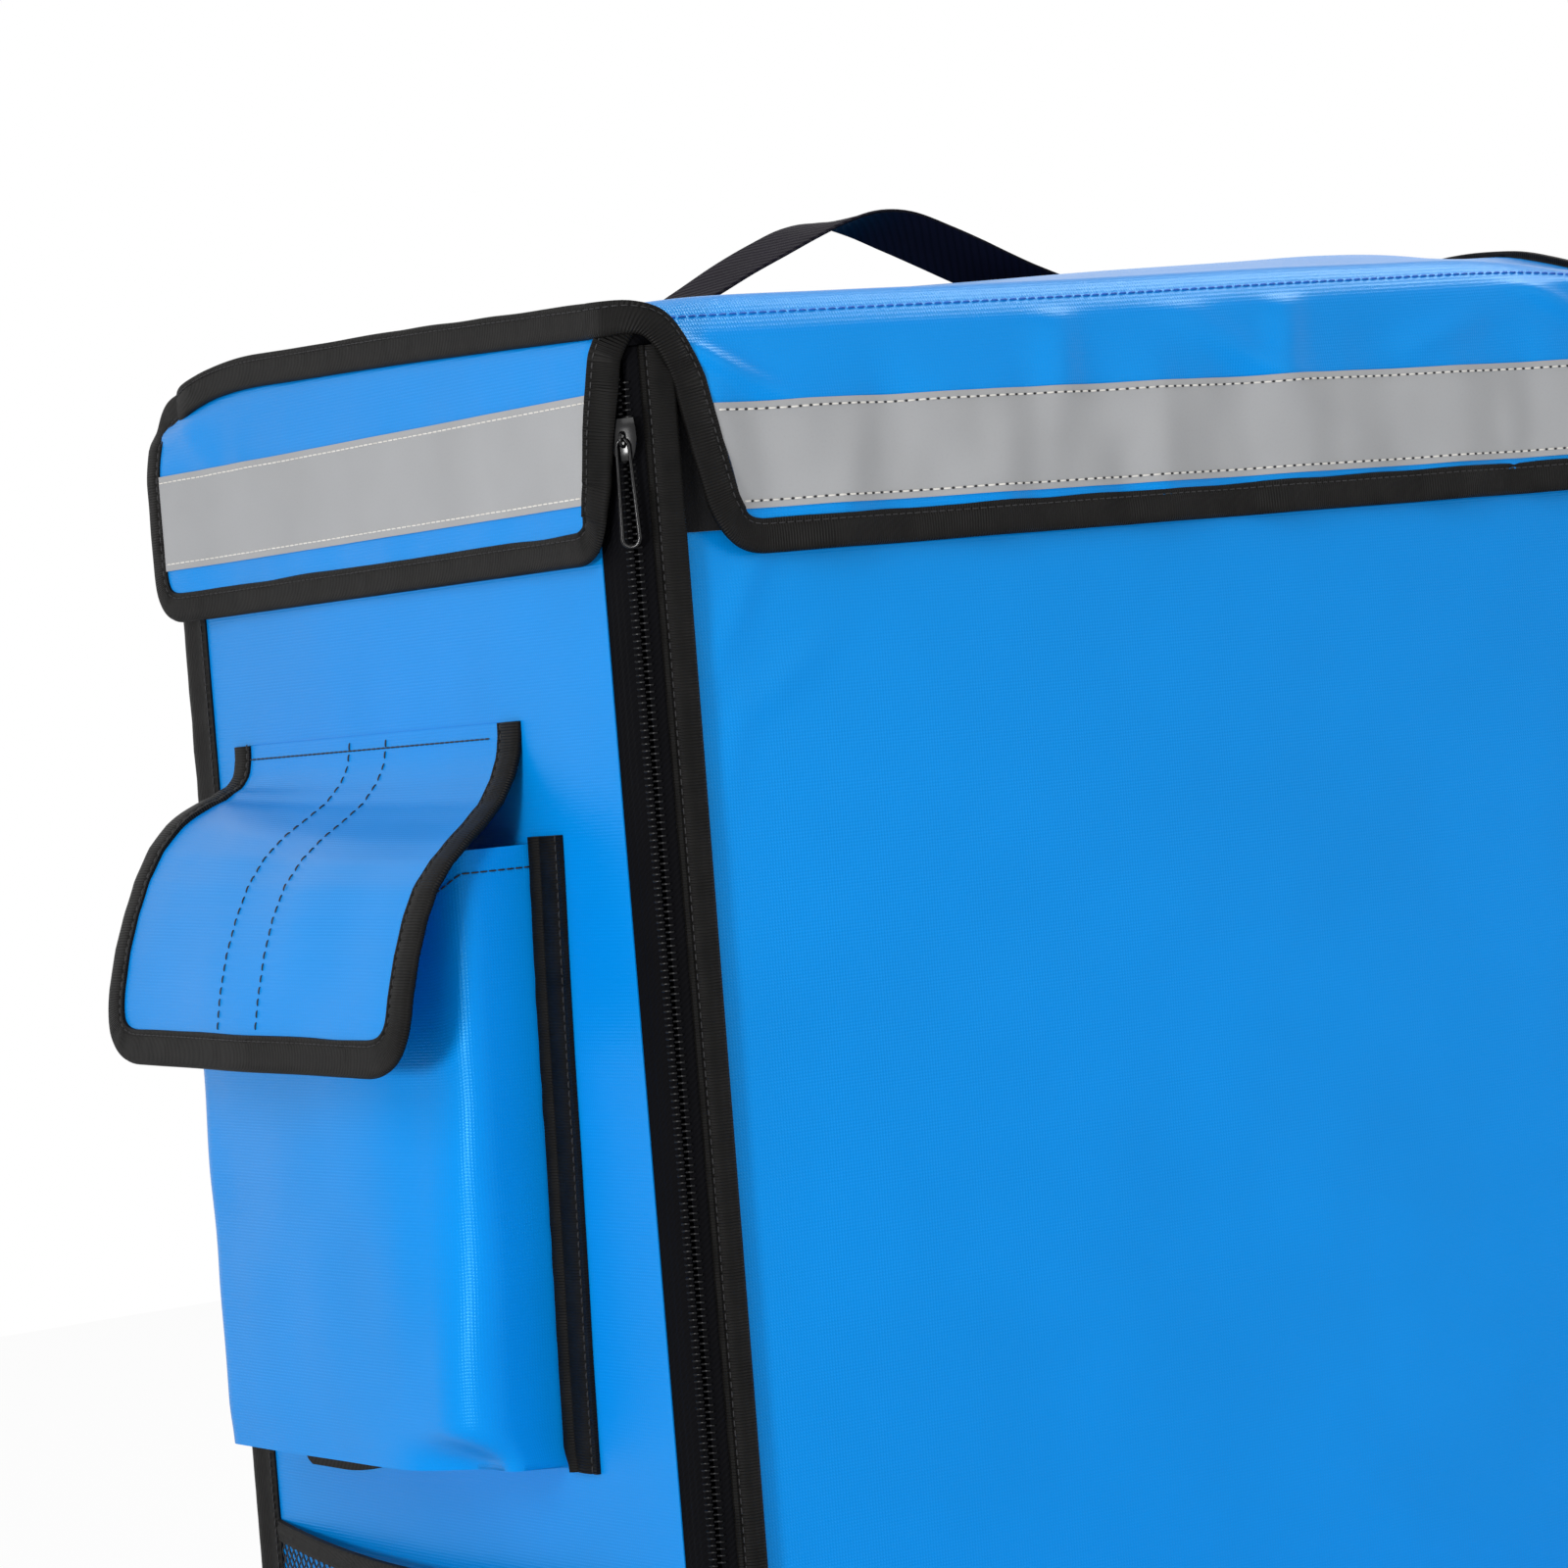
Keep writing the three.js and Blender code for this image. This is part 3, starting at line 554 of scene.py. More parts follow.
@dataclass(frozen=True)
class Thread:
    """Lock stitches: short rounded floats that dive into the cloth at both ends."""

    pitch: float = 3.4
    long: float = 2.7
    radius: float = 0.3

    def add(self, shape: Shape, stations: Sequence[Station]) -> None:
        """Adds stitches along a run.

        Args:
            shape: What they are added to.
            stations: The run, closely spaced.
        """
        far = 0.0
        due = self.pitch / 2
        for here, there in zip(stations, stations[1:]):
            step = (there.place - here.place).length
            while step > 0 and due <= far + step:
                share = (due - far) / step
                middle = here.place.lerp(there.place, share)
                along = (there.place - here.place).normalized()
                self.stitch(shape, middle, along, here.out.lerp(there.out, share).normalized())
                due += self.pitch
            far += step

    def stitch(self, shape: Shape, middle: Vector, along: Vector, out: Vector) -> None:
        """Adds one stitch."""
        across = out.cross(along).normalized()
        rings = [(-0.5, -0.9, 0.55), (-0.36, 0.15, 1.0), (0.0, 0.45, 1.05), (0.36, 0.15, 1.0),
                 (0.5, -0.9, 0.55)]
        sides = 6
        points = []
        for share, rise, girth in rings:
            for k in range(sides):
                turn = 2 * math.pi * k / sides
                points.append(middle + along * (share * self.long)
                              + across * (math.cos(turn) * self.radius * girth)
                              + out * (rise * self.radius + math.sin(turn) * self.radius * girth))
        faces = [(r * sides + k, r * sides + (k + 1) % sides, (r + 1) * sides + (k + 1) % sides,
                  (r + 1) * sides + k) for r in range(len(rings) - 1) for k in range(sides)]
        faces += [tuple(range(sides)), tuple(reversed(range((len(rings) - 1) * sides, len(points))))]
        shape.add(points, faces)


def stitched(*runs: Sequence[Station], thread: Thread = Thread()) -> Shape:
    """The stitches of several runs, as one shape."""
    shape = Shape()
    for run in runs:
        thread.add(shape, run)
    return shape


@dataclass(frozen=True)
class Crease:
    """A soft fold: a ridge at a flat place, longer than it is wide."""

    across: float
    down: float
    angle: float
    long: float
    wide: float
    rise: float

    def at(self, across: float, down: float) -> float:
        """Its height at a flat place."""
        turn = math.radians(self.angle)
        a, d = across - self.across, down - self.down
        along = (a * math.cos(turn) + d * math.sin(turn)) / self.long
        over = (d * math.cos(turn) - a * math.sin(turn)) / self.wide
        return self.rise * math.exp(-along * along - over * over)


# Finishes


def linear(colour: str) -> tuple[float, float, float, float]:
    """An sRGB hex colour as linear red, green, blue and alpha."""
    channels = [int(colour[i:i + 2], 16) / 255 for i in (1, 3, 5)]
    return (*(c / 12.92 if c <= 0.04045 else ((c + 0.055) / 1.055) ** 2.4 for c in channels), 1.0)


def add_node(tree: NodeTree, kind: str, settings: dict | None = None,
             links: dict | None = None) -> Node:
    """Adds a node with its settings and links.

    Args:
        tree: The node tree.
        kind: The node's type.
        settings: Values by the name of an attribute or input, or by an input's index.
        links: Output sockets by the name or index of the input that they go to.

    Returns:
        The new node.
    """
    node = tree.nodes.new(kind)
    for key, value in (settings or {}).items():
        if isinstance(key, str) and hasattr(node, key):
            setattr(node, key, value)
        else:
            node.inputs[key].default_value = value
    for key, socket in (links or {}).items():
        tree.links.new(socket, node.inputs[key])
    return node


@dataclass(frozen=True)
class Finish:
    """A real material: its colour, gloss and relief.

    pitch is the distance between threads, ribs or grains, relief their height, both in
    millimetres. mottle is how far the colour varies over mottle_size, and shade how much
    darker the relief's low parts are painted: a painted shade in its hollows.
    """

    name: str
    colour: str
    roughness: float
    pattern: Pattern
    pitch: float
    relief: float
    specular: float = 0.5
    metallic: float = 0.0
    mottle: float = 0.05
    mottle_size: float = 70.0
    shade: float = 0.15
    sheen: float = 0.0
    coat: float = 0.0
    tint: str = "#ffffff"
    by_flat: bool = True

    def height(self, tree: NodeTree, place: NodeSocket) -> NodeSocket:
        """Builds the relief's height, from 0 to 1.

        Args:
            tree: The material's node tree.
            place: The coordinates in metres.

        Returns:
            The socket that carries the height.
        """
        per_metre = 1 / (self.pitch * MM)
        wave = per_metre * math.pi / 10
        if self.pattern is Pattern.WEAVE:
            over, along = (add_node(tree, "ShaderNodeTexWave", {
                "bands_direction": axis, "Scale": wave, "Distortion": 0.4, "Detail": 1.0,
                "Detail Scale": 0.3}, {"Vector": place}) for axis in "XY")
            return add_node(tree, "ShaderNodeMath", {"operation": "MULTIPLY"},
                            {0: over.outputs["Fac"], 1: along.outputs["Fac"]}).outputs[0]
        if self.pattern in (Pattern.RIBS, Pattern.TWILL):
            axis = "X" if self.pattern is Pattern.RIBS else "DIAGONAL"
            return add_node(tree, "ShaderNodeTexWave", {
                "bands_direction": axis, "Scale": wave, "Distortion": 0.8, "Detail": 1.0,
                "Detail Scale": 0.5}, {"Vector": place}).outputs["Fac"]
        if self.pattern in (Pattern.CELLS, Pattern.HOLES, Pattern.CRINKLE):
            feature = "DISTANCE_TO_EDGE" if self.pattern is not Pattern.CELLS else "F1"
            cells = add_node(tree, "ShaderNodeTexVoronoi", {
                "feature": feature, "Scale": per_metre}, {"Vector": place})
            return cells.outputs["Distance"]
        return add_node(tree, "ShaderNodeTexNoise", {"Scale": per_metre, "Detail": 3.0},
                        {"Vector": place}).outputs["Fac"]

    def material(self) -> Material:
        """Builds the material, once."""
        found = bpy.data.materials.get(self.name)
        if found:
            return found
        made = bpy.data.materials.new(self.name)
        made.use_nodes = True
        tree = made.node_tree
        tree.nodes.clear()
        spots = add_node(tree, "ShaderNodeTexCoord")
        place = spots.outputs["UV" if self.by_flat else "Object"]
        height = self.height(tree, place)
        clouds = add_node(tree, "ShaderNodeTexNoise", {
            "Scale": 1 / (self.mottle_size * MM), "Detail": 2.0}, {"Vector": spots.outputs["Object"]})
        cloudy = add_node(tree, "ShaderNodeMapRange", {
            "From Min": 0.3, "From Max": 0.7, "To Min": 1 - self.mottle, "To Max": 1 + self.mottle},
            {"Value": clouds.outputs["Fac"]})
        # Painted shade: the relief's low parts are darkened in the colour by the share shade.
        shaded = add_node(tree, "ShaderNodeMapRange", {
            "From Max": 0.5, "To Min": 1 - self.shade, "To Max": 1.0}, {"Value": height})
        value = add_node(tree, "ShaderNodeMath", {"operation": "MULTIPLY"}, {
            0: cloudy.outputs["Result"], 1: shaded.outputs["Result"]})
        tone = add_node(tree, "ShaderNodeHueSaturation", {"Color": linear(self.colour)},
                        {"Value": value.outputs[0]})
        bump = add_node(tree, "ShaderNodeBump", {"Strength": 1.0, "Distance": self.relief * MM},
                        {"Height": height})
        shader = add_node(tree, "ShaderNodeBsdfPrincipled", {
            "Roughness": self.roughness, "Metallic": self.metallic, "IOR": 1.5,
            "Specular IOR Level": self.specular, "Specular Tint": linear(self.tint),
            "Sheen Weight": self.sheen, "Sheen Roughness": 0.4, "Coat Weight": self.coat,
            "Coat Roughness": 0.12},
            {"Base Color": tone.outputs["Color"], "Normal": bump.outputs["Normal"]})
        add_node(tree, "ShaderNodeOutputMaterial", None, {"Surface": shader.outputs["BSDF"]})
        return made


class Finishes:
    """Every finish on the bag."""

    # Polyester coated with polyurethane: a saturated blue with a soft gloss on its folds. Its
    # threads are about 0.6 mm apart, and drawn twice as coarse so that they show.
    cloth = Finish("polyurethane_coated_polyester", "#0287dd", 0.26, Pattern.WEAVE, 1.2, 0.07,
                   specular=0.29, tint="#86f0ff", mottle=0.03, shade=0.05)
    # Folded polypropylene binding: fine ribs across, warm black where light falls on it.
    binding = Finish("grosgrain_binding", "#100f0e", 0.5, Pattern.RIBS, 1.1, 0.3,
                     specular=0.12, mottle=0.35, mottle_size=9, shade=0.4)
    # Woven polyester zip tape: cooler and flatter than the binding.
    tape = Finish("woven_zip_tape", "#08080b", 0.75, Pattern.TWILL, 1.2, 0.12,
                  specular=0.05, mottle=0.12, mottle_size=20, shade=0.3)
    # Extruded nylon monofilament: a small bright spark on each tooth.
    coil = Finish("nylon_coil", "#08080a", 0.35, Pattern.GRAIN, 1.5, 0.02,
                  specular=0.22, mottle=0.1, mottle_size=20, by_flat=False)
    # Zinc casting under black enamel: a hard, wet gloss.
    enamel = Finish("black_enamelled_zinc", "#060608", 0.2, Pattern.GRAIN, 2.5, 0.015,
                    specular=0.2, mottle=0.05, shade=0.05, coat=0.12, by_flat=False)
    # Fabric coated with glass beads: flat grey with a fine sparkle of grain.
    beads = Finish("glass_bead_reflective_fabric", "#9c9d9f", 0.42, Pattern.GRAIN, 0.9, 0.03,
                   specular=0.4, mottle=0.05, mottle_size=45, shade=0.08)
    # Spun polyester threads, in the three colours that the seams show.
    pale_thread = Finish("pale_polyester_thread", "#d9d6cf", 0.7, Pattern.GRAIN, 0.4, 0.03,
                         mottle=0.1, mottle_size=5, by_flat=False)
    blue_thread = Finish("blue_polyester_thread", "#1c62bd", 0.6, Pattern.GRAIN, 0.4, 0.03,
                         mottle=0.1, mottle_size=5, by_flat=False)
    black_thread = Finish("black_polyester_thread", "#0e0d10", 0.6, Pattern.GRAIN, 0.4, 0.03,
                          mottle=0.2, mottle_size=5, by_flat=False)
    # Polypropylene webbing in a coarse twill, near black with a violet cast.
    webbing = Finish("polypropylene_webbing", "#120d18", 0.6, Pattern.TWILL, 2.2, 0.25,
                     specular=0.07, mottle=0.12, mottle_size=15, shade=0.4)
    # Loop side of a touch fastener: a dull nap that scatters light.
    nap = Finish("knitted_loop_band", "#141416", 0.95, Pattern.GRAIN, 0.8, 0.35,
                 specular=0.1, mottle=0.2, mottle_size=8, shade=0.5, sheen=0.4)
    # Knotted polyester net: thin, slightly shiny strands.
    net = Finish("polyester_net", "#101114", 0.5, Pattern.GRAIN, 0.5, 0.03, mottle=0.1,
                 by_flat=False)
    # Knitted spacer fabric: open hexagonal holes over a soft body.
    spacer = Finish("knitted_spacer_mesh", "#17181b", 0.85, Pattern.HOLES, 3.6, 0.9,
                    specular=0.2, mottle=0.1, mottle_size=40, shade=0.6, sheen=0.15)
    # Closed cell polyethylene foam, white and slightly waxy.
    foam = Finish("polyethylene_foam", "#e6e7e6", 0.6, Pattern.CELLS, 2.2, 0.12,
                  specular=0.3, mottle=0.03, shade=0.1, by_flat=False)
    # Aluminised film on foam: bright metal, broken up by crumples.
    foil = Finish("aluminised_film", "#c9ccd0", 0.28, Pattern.CRINKLE, 17.0, 0.9,
                  metallic=0.9, mottle=0.04, shade=0.05)
    # Moulded acetal: satin black plastic.
    acetal = Finish("moulded_acetal", "#111113", 0.38, Pattern.GRAIN, 1.4, 0.02,
                    mottle=0.06, shade=0.1, by_flat=False)


# Skins


def front_bow(x: float, z: float) -> float:
    """How far the front stands out at a place, in millimetres."""
    rise = math.sin(math.pi * clamp((z - 5) / HEIGHT)) ** 0.6
    over = math.sin(math.pi * clamp((x + HALF_WIDE - 20) / (2 * HALF_WIDE - 40))) ** 0.7
    soft = 0.9 * soft_noise(x, z, 120, 2.2) + 0.35 * soft_noise(x, z, 46, 7.1)
    return rise * over * (3.2 + soft)


def side_bow(y: float, z: float, side: Side) -> float:
    """How far a side stands out at a place, in millimetres."""
    rise = math.sin(math.pi * clamp((z - 5) / HEIGHT)) ** 0.6
    over = math.sin(math.pi * clamp((y + HALF_DEEP - 22) / (2 * HALF_DEEP - 44))) ** 0.8
    soft = 0.8 * soft_noise(y, z, 90, 5.0 + side.value) + 0.3 * soft_noise(y, z, 38, 1.0)
    return rise * over * (2.0 + soft)


@dataclass(frozen=True)
class WallSkin(Skin):
    """The walls round one front corner, as (run, height).

    The run is 0 at the corner's middle, negative on the front and positive along the side and
    on to the back.
    """

    side: Side

    @staticmethod
    def run_of_side(behind: float) -> float:
        """The run at a distance behind the front plane, on the side."""
        return QUARTER + behind - FRONT_RADIUS

    @staticmethod
    def run_of_front(inward: float) -> float:
        """The run at a distance inwards from the side plane, on the front."""
        return -QUARTER - inward + FRONT_RADIUS

    def place(self, across: float, down: float) -> Vector:
        """The point at a run and a height."""
        length = 2 * HALF_DEEP - FRONT_RADIUS - BACK_RADIUS
        if across < -QUARTER:
            x, y = HALF_WIDE - FRONT_RADIUS + across + QUARTER, -HALF_DEEP
            out = (0.0, -1.0)
            bow = front_bow(x * self.side.value, down)
        elif across <= QUARTER:
            turn = across / FRONT_RADIUS + math.pi / 4
            out = (math.sin(turn), -math.cos(turn))
            x = HALF_WIDE - FRONT_RADIUS + FRONT_RADIUS * out[0]
            y = -HALF_DEEP + FRONT_RADIUS + FRONT_RADIUS * out[1]
            bow = 0.0
        elif across <= QUARTER + length:
            x, y = HALF_WIDE, -HALF_DEEP + FRONT_RADIUS + across - QUARTER
            out = (1.0, 0.0)
            bow = side_bow(y, down, self.side)
        else:
            far = across - QUARTER - length
            turn = min(far / BACK_RADIUS, math.pi / 2)
            out = (math.cos(turn), math.sin(turn))
            x = HALF_WIDE - BACK_RADIUS + BACK_RADIUS * out[0] - max(0.0, far - BACK_RADIUS * math.pi / 2)
            y = HALF_DEEP - BACK_RADIUS + BACK_RADIUS * out[1]
            bow = 0.0
        return Vector(((x + out[0] * bow) * self.side.value, y + out[1] * bow, down))


@dataclass(frozen=True)
class FrontSkin(Skin):
    """The front wall, as (x, height), with its soft folds."""

    folds: tuple[Crease, ...] = (
        Crease(-205, 452, 62, 34, 5, 1.3), Crease(-190, 420, 35, 22, 5, 1.0),
        Crease(-214, 398, 75, 26, 4, 0.8), Crease(-60, 300, 20, 120, 30, 0.8),
        Crease(90, 180, -25, 130, 35, 0.9), Crease(205, 440, 110, 34, 6, 1.1),
    )

    def place(self, across: float, down: float) -> Vector:
        """The point at an x and a height."""
        bow = front_bow(across, down) + sum(fold.at(across, down) for fold in self.folds)
        return Vector((across, -HALF_DEEP - bow, down))


@dataclass(frozen=True)
class BackSkin(Skin):
    """The back wall, as (x, height)."""

    side = Side.LEFT

    def place(self, across: float, down: float) -> Vector:
        """The point at an x and a height."""
        return Vector((across, HALF_DEEP, down))


@dataclass(frozen=True)
class LidSkin(Skin):
    """The lid's crowned cloth with its turned edges, and the front flap that it runs into.

    Across is x, and past the lid's outline the cloth turns down. Down is the distance behind
    the front crease, and below 0 it is the height under it, on the flap.
    """

    EDGE = 250.0
    TURN = 3.0
    BEHIND = 345.0
    CORNER = 30.0
    SLOPE = 15.0
    SOFT = 1.7
    crease: Through = Through((
        (-253, 543.4), (-202, 543.2), (-136, 544.2), (-50, 545.2), (60, 547.2), (154, 548.8),
        (179, 549.4), (215, 549.0), (253, 546.0)))
    front: Through = Through((
        (-253, 552.6), (-236, 554.6), (-212, 556.4), (-148, 557.3), (-104, 557.6), (-41, 558.4),
        (11, 559.2), (60, 559.8), (110, 560.0), (150, 560.1), (180, 558.4), (207, 555.0),
        (230, 553.2), (253, 552.8)))
    left: Through = Through((
        (-161.5, 553.4), (-135.5, 554.6), (-95.5, 556.3), (-25.5, 559.0), (49.5, 561.2),
        (95, 562.2), (120, 560.8), (135, 558.4), (150, 554.8), (171.5, 550.5)))
    right: Through = Through((
        (-161.5, 553.4), (-135.5, 557.0), (-110, 563.6), (-90.5, 568.2), (-75, 570.0),
        (-55, 570.8), (30, 568.5), (97.5, 565.5), (126.5, 561.5), (150, 555.8), (171.5, 550.5)))
    folds: tuple[Crease, ...] = (
        Crease(-214, -10, -26, 26, 3.4, 1.7), Crease(-196, -22, -12, 40, 7, 1.0),
        Crease(-160, -52, 80, 20, 8, 1.0), Crease(-60, -16, 82, 18, 9, 1.3),
        Crease(-92, -56, 86, 22, 10, 1.2), Crease(28, -20, -30, 34, 7, 1.3),
        Crease(-18, -58, 84, 20, 9, 1.2), Crease(48, -14, 70, 20, 8, 1.3),
        Crease(84, -56, 88, 22, 10, 1.1), Crease(128, -18, 15, 30, 6, 1.0),
        Crease(160, -56, 84, 20, 8, 1.0), Crease(192, -9, -24, 24, 4, 1.6),
    )

    def top(self, x: float, y: float) -> float:
        """The lid's height at a place: a patch between its four edge curves."""
        low, high = -161.5, HALF_DEEP
        s = clamp((x + self.EDGE) / (2 * self.EDGE))
        t = clamp((y - low) / (high - low))
        corners = (self.left.at(low), self.right.at(low), self.left.at(high), self.right.at(high))
        ruled = mix(self.left.at(y), self.right.at(y), s)
        across = mix(self.front.at(x), mix(corners[2], corners[3], s), t)
        flat = mix(mix(corners[0], corners[1], s), mix(corners[2], corners[3], s), t)
        return ruled + across - flat + 0.5 * soft_noise(x, y, 80, 3.3) * math.sin(math.pi * s)

    def rise(self, x: float, behind: float) -> float:
        """The height at a distance behind the crease, inside the turned edges."""
        if behind >= self.SLOPE:
            return self.top(x, LID_FRONT + behind)
        share = math.sin(math.pi / 2 * behind / self.SLOPE)
        return mix(self.crease.at(x), self.top(x, LID_FRONT + self.SLOPE), share)

    def ripple(self, x: float, below: float) -> float:
        """How far the front flap stands out under its crease."""
        hang = ease(below / 45)
        waves = 2.3 + 4.4 * soft_noise(x, below * 0.4, 36, 9.2) + 1.3 * soft_noise(x, below * 0.6, 17, 4.4)
        inner = clamp((238 - abs(x)) / 22)
        folds = 1.8 * sum(fold.at(x, -below) for fold in self.folds)
        return max(0.0, hang * waves + folds) * inner - self.SOFT * math.exp(-below / 3.6)

    def place(self, across: float, down: float) -> Vector:
        """The point at an x and a distance behind or below the front crease."""
        if down < 0:
            return Vector((across, LID_FRONT - self.ripple(across, -down),
                           self.crease.at(across) + down))
        over = max(0.0, abs(across) - self.EDGE + self.CORNER)
        past = max(0.0, down - self.BEHIND + self.CORNER)
        dist = math.hypot(over, past)
        far = dist - self.CORNER
        if far <= 0:
            soft = self.SOFT * (1 - ease(down / self.SLOPE))
            return Vector((across, LID_FRONT + down + soft, self.rise(across, down)))
        aside, back = math.copysign(over / dist, across), past / dist
        x, behind = across - aside * far, down - back * far
        turn = min(far / self.TURN, math.pi / 2)
        reach = self.TURN * math.sin(turn)
        drop = self.TURN * (1 - math.cos(turn)) + max(0.0, far - self.TURN * math.pi / 2)
        return Vector((x + aside * reach, LID_FRONT + behind + back * reach,
                       self.rise(x, behind) - drop))


@dataclass(frozen=True)
class SideFlapSkin(Skin):
    """A side flap of the lid, as (y, height). Its front wraps round the bag's corner."""

    side: Side
    lid: LidSkin = LidSkin()
    bend: float = -157.5
    radius: float = 17.0

    def top(self, y: float) -> float:
        """The height of its sewn edge, under the lid's edge band."""
        edge = self.lid.left if self.side is Side.LEFT else self.lid.right
        return edge.at(y) - 6.0

    def place(self, across: float, down: float) -> Vector:
        """The point at a y, or a length round the corner, and a height."""
        below = self.top(across) - down
        under = 2.6 * ease(1 - below / 9)
        calm = clamp((across + 172) / 30)
        waves = ease(below / 30) * calm * (
            0.8 * soft_noise(across, down * 0.6, 42, 6.6 + self.side.value)
            + 0.3 * soft_noise(across, down, 17, 2.0))
        waves += Crease(128, 528, 40, 34, 7, 1.3).at(across, down)
        waves += Crease(95, 520, 25, 40, 6, 0.9).at(across, down)
        flare = 3.0 * ease((across - 110) / 60) * ease(below / 24)
        turn = max(0.0, self.bend - across) / self.radius
        reach = self.radius + waves
        x = LID_HALF - self.radius + reach * math.cos(turn) - under + flare
        return Vector((x * self.side.value, max(across, self.bend) - reach * math.sin(turn), down))


# Sub-assemblies


@dataclass(frozen=True)
class Mount:
    """What carries a piece: one body, or a second body with two places, for which the piece only has its
    transform baked.
    """

    body: str
    other: str = ""
    start: Spot = (0, 0, 0)
    end: Spot = (0, 0, 0)

    def put(self, thing: Object, slot: str, *nodes: str) -> Object:
        """Mounts a piece and hides the CAD nodes that it stands in for."""
        if self.other:
            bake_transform(thing)
        else:
            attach(thing, self.body)
        if nodes:
            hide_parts(*nodes)
        return thing


SHELL = Mount("shell")
DOOR = Mount("front_door")
LID = Mount("lid")
LID_FRONT_BEND = Mount("lid", "front_cover_flap", (0, -168.0, 556.0), (0, -176.5, 546.0))


def bound(name: str, binding: Binding, stations: Sequence[Station], mount: Mount, *nodes: str,
          closed: bool = False) -> list[Object]:
    """Dresses an edge with its folded tape and the tape's stitches.

    Args:
        name: The start of both pieces' names.
        binding: The tape.
        stations: The edge.
        mount: What carries it.
        nodes: The CAD nodes that the tape stands for.
        closed: True where the edge ends where it starts.

    Returns:
        The tape and its thread.
    """
    tape = swept(stations, binding.profile, closed).dress(
        f"{name}_binding", Finishes.binding, mount, "black_tape", *nodes, crease=TAPE_CREASE)
    thread = stitched(binding.thread(stations)).dress(
        f"{name}_thread", Finishes.black_thread, mount, "black_tape")
    return [tape, thread]


def moulded(thing: Object, width: float, segments: int) -> Shape:
    """Takes a solid that operators made out of the scene, with its edges rounded.

    Args:
        thing: The solid, in millimetres.
        width: How wide its edges are cut.
        segments: How many faces round an edge.

    Returns:
        Its points and faces.
    """
    bevel = thing.modifiers.new("Round", "BEVEL")
    bevel.width, bevel.segments, bevel.limit_method = width, segments, "ANGLE"
    bpy.ops.object.modifier_apply(modifier=bevel.name)
    bpy.ops.object.transform_apply(location=True, rotation=True, scale=True)
    shape = Shape()
    shape.add([v.co.copy() for v in thing.data.vertices], [tuple(p.vertices) for p in thing.data.polygons])
    bpy.data.objects.remove(thing)
    return shape


def new_cube(size: Sequence[float], place: Sequence[float] = (0, 0, 0)) -> Object:
    """A box of a size at a place, in millimetres, as the active object."""
    bpy.ops.object.select_all(action="DESELECT")
    bpy.ops.mesh.primitive_cube_add(size=1, location=place)
    cube = bpy.context.object
    cube.scale = size
    bpy.ops.object.transform_apply(location=True, rotation=True, scale=True)
    return cube


@dataclass
class Walls:
    """The blue cloth of the sides, the front, the back and the base."""

    thick: float = 1.2
    side_start: float = 22.0
    side_end: float = 322.0
    front_half: float = 231.0
    back_half: float = 234.0
    step: float = 4.5
    back_step: float = 9.0
    base_rim: float = 10.4
    base_inset: float = 0.4

    def build(self) -> None:
        """Builds and dresses every wall."""
        heights = spaced(WALL_FOOT, WALL_TOP, self.step)
        for side in Side:
            skin = WallSkin(side)
            runs = spaced(skin.run_of_side(self.side_start), skin.run_of_side(self.side_end), self.step)
            runs[1:1] = [runs[0] + 1.5]
            self.wall(side.label, skin, grid(runs, heights), SHELL, 0.5)
        across = spaced(-self.front_half, self.front_half, self.step)
        self.wall("front", FrontSkin(), grid(across, heights), DOOR)
        across = spaced(-self.back_half, self.back_half, self.back_step)
        self.wall("back", BackSkin(), grid(across, spaced(WALL_FOOT, WALL_TOP, self.back_step)), SHELL)
        self.base()

    def wall(self, wall: str, skin: Skin, rows: list[list[Flat]], mount: Mount, lift: float = 0.0) -> None:
        """One wall's cloth, stretched over its foam."""
        Sheet(f"{wall}_wall_cloth", skin, rows, self.thick, lift).dress(
            Finishes.cloth, mount, "blue_cloth", f"{wall}_panel", held="stretched",
            rests_on=f"{wall}_foam")

    def base(self) -> None:
        """The base cloth: a tray whose rim turns up round the base board."""
        half, deep = HALF_WIDE - self.base_inset, HALF_DEEP - self.base_inset
        outline = round_box(half, -deep, deep, [FRONT_RADIUS] * 4, 8)
        shape = Shape(merges=True)
        points, flats = [], []
        for inner in (0.0, self.thick):
            for share, high in ((0.0, 0.0), (0.55, 0.0), (0.93, 0.0), (0.985, 0.0), (0.9935, 0.7),
                                (0.9985, 2.4), (1.0, 4.4), (1.0, self.base_rim)):
                wider = share * (1 + high / 200)
                for x, y in outline:
                    keep = share * (1 - (inner if share >= 0.93 else 0.0) / math.hypot(x, y))
                    points.append(Vector((x * keep, y * keep, min(high + inner, self.base_rim))))
                    flats.append((x * wider, y * wider))
        count = len(outline)
        levels = len(points) // (2 * count)
        bands = [(start + level, start + level + 1) for start in (0, levels)
                 for level in range(levels - 1)] + [(levels - 1, 2 * levels - 1)]
        faces = [(low * count + i, low * count + (i + 1) % count, high * count + (i + 1) % count,
                  high * count + i) for low, high in bands for i in range(count)]
        shape.add(points, faces, flats)
        thing = shape.dress("base_cloth", Finishes.cloth, SHELL, "blue_cloth", "base_panel")


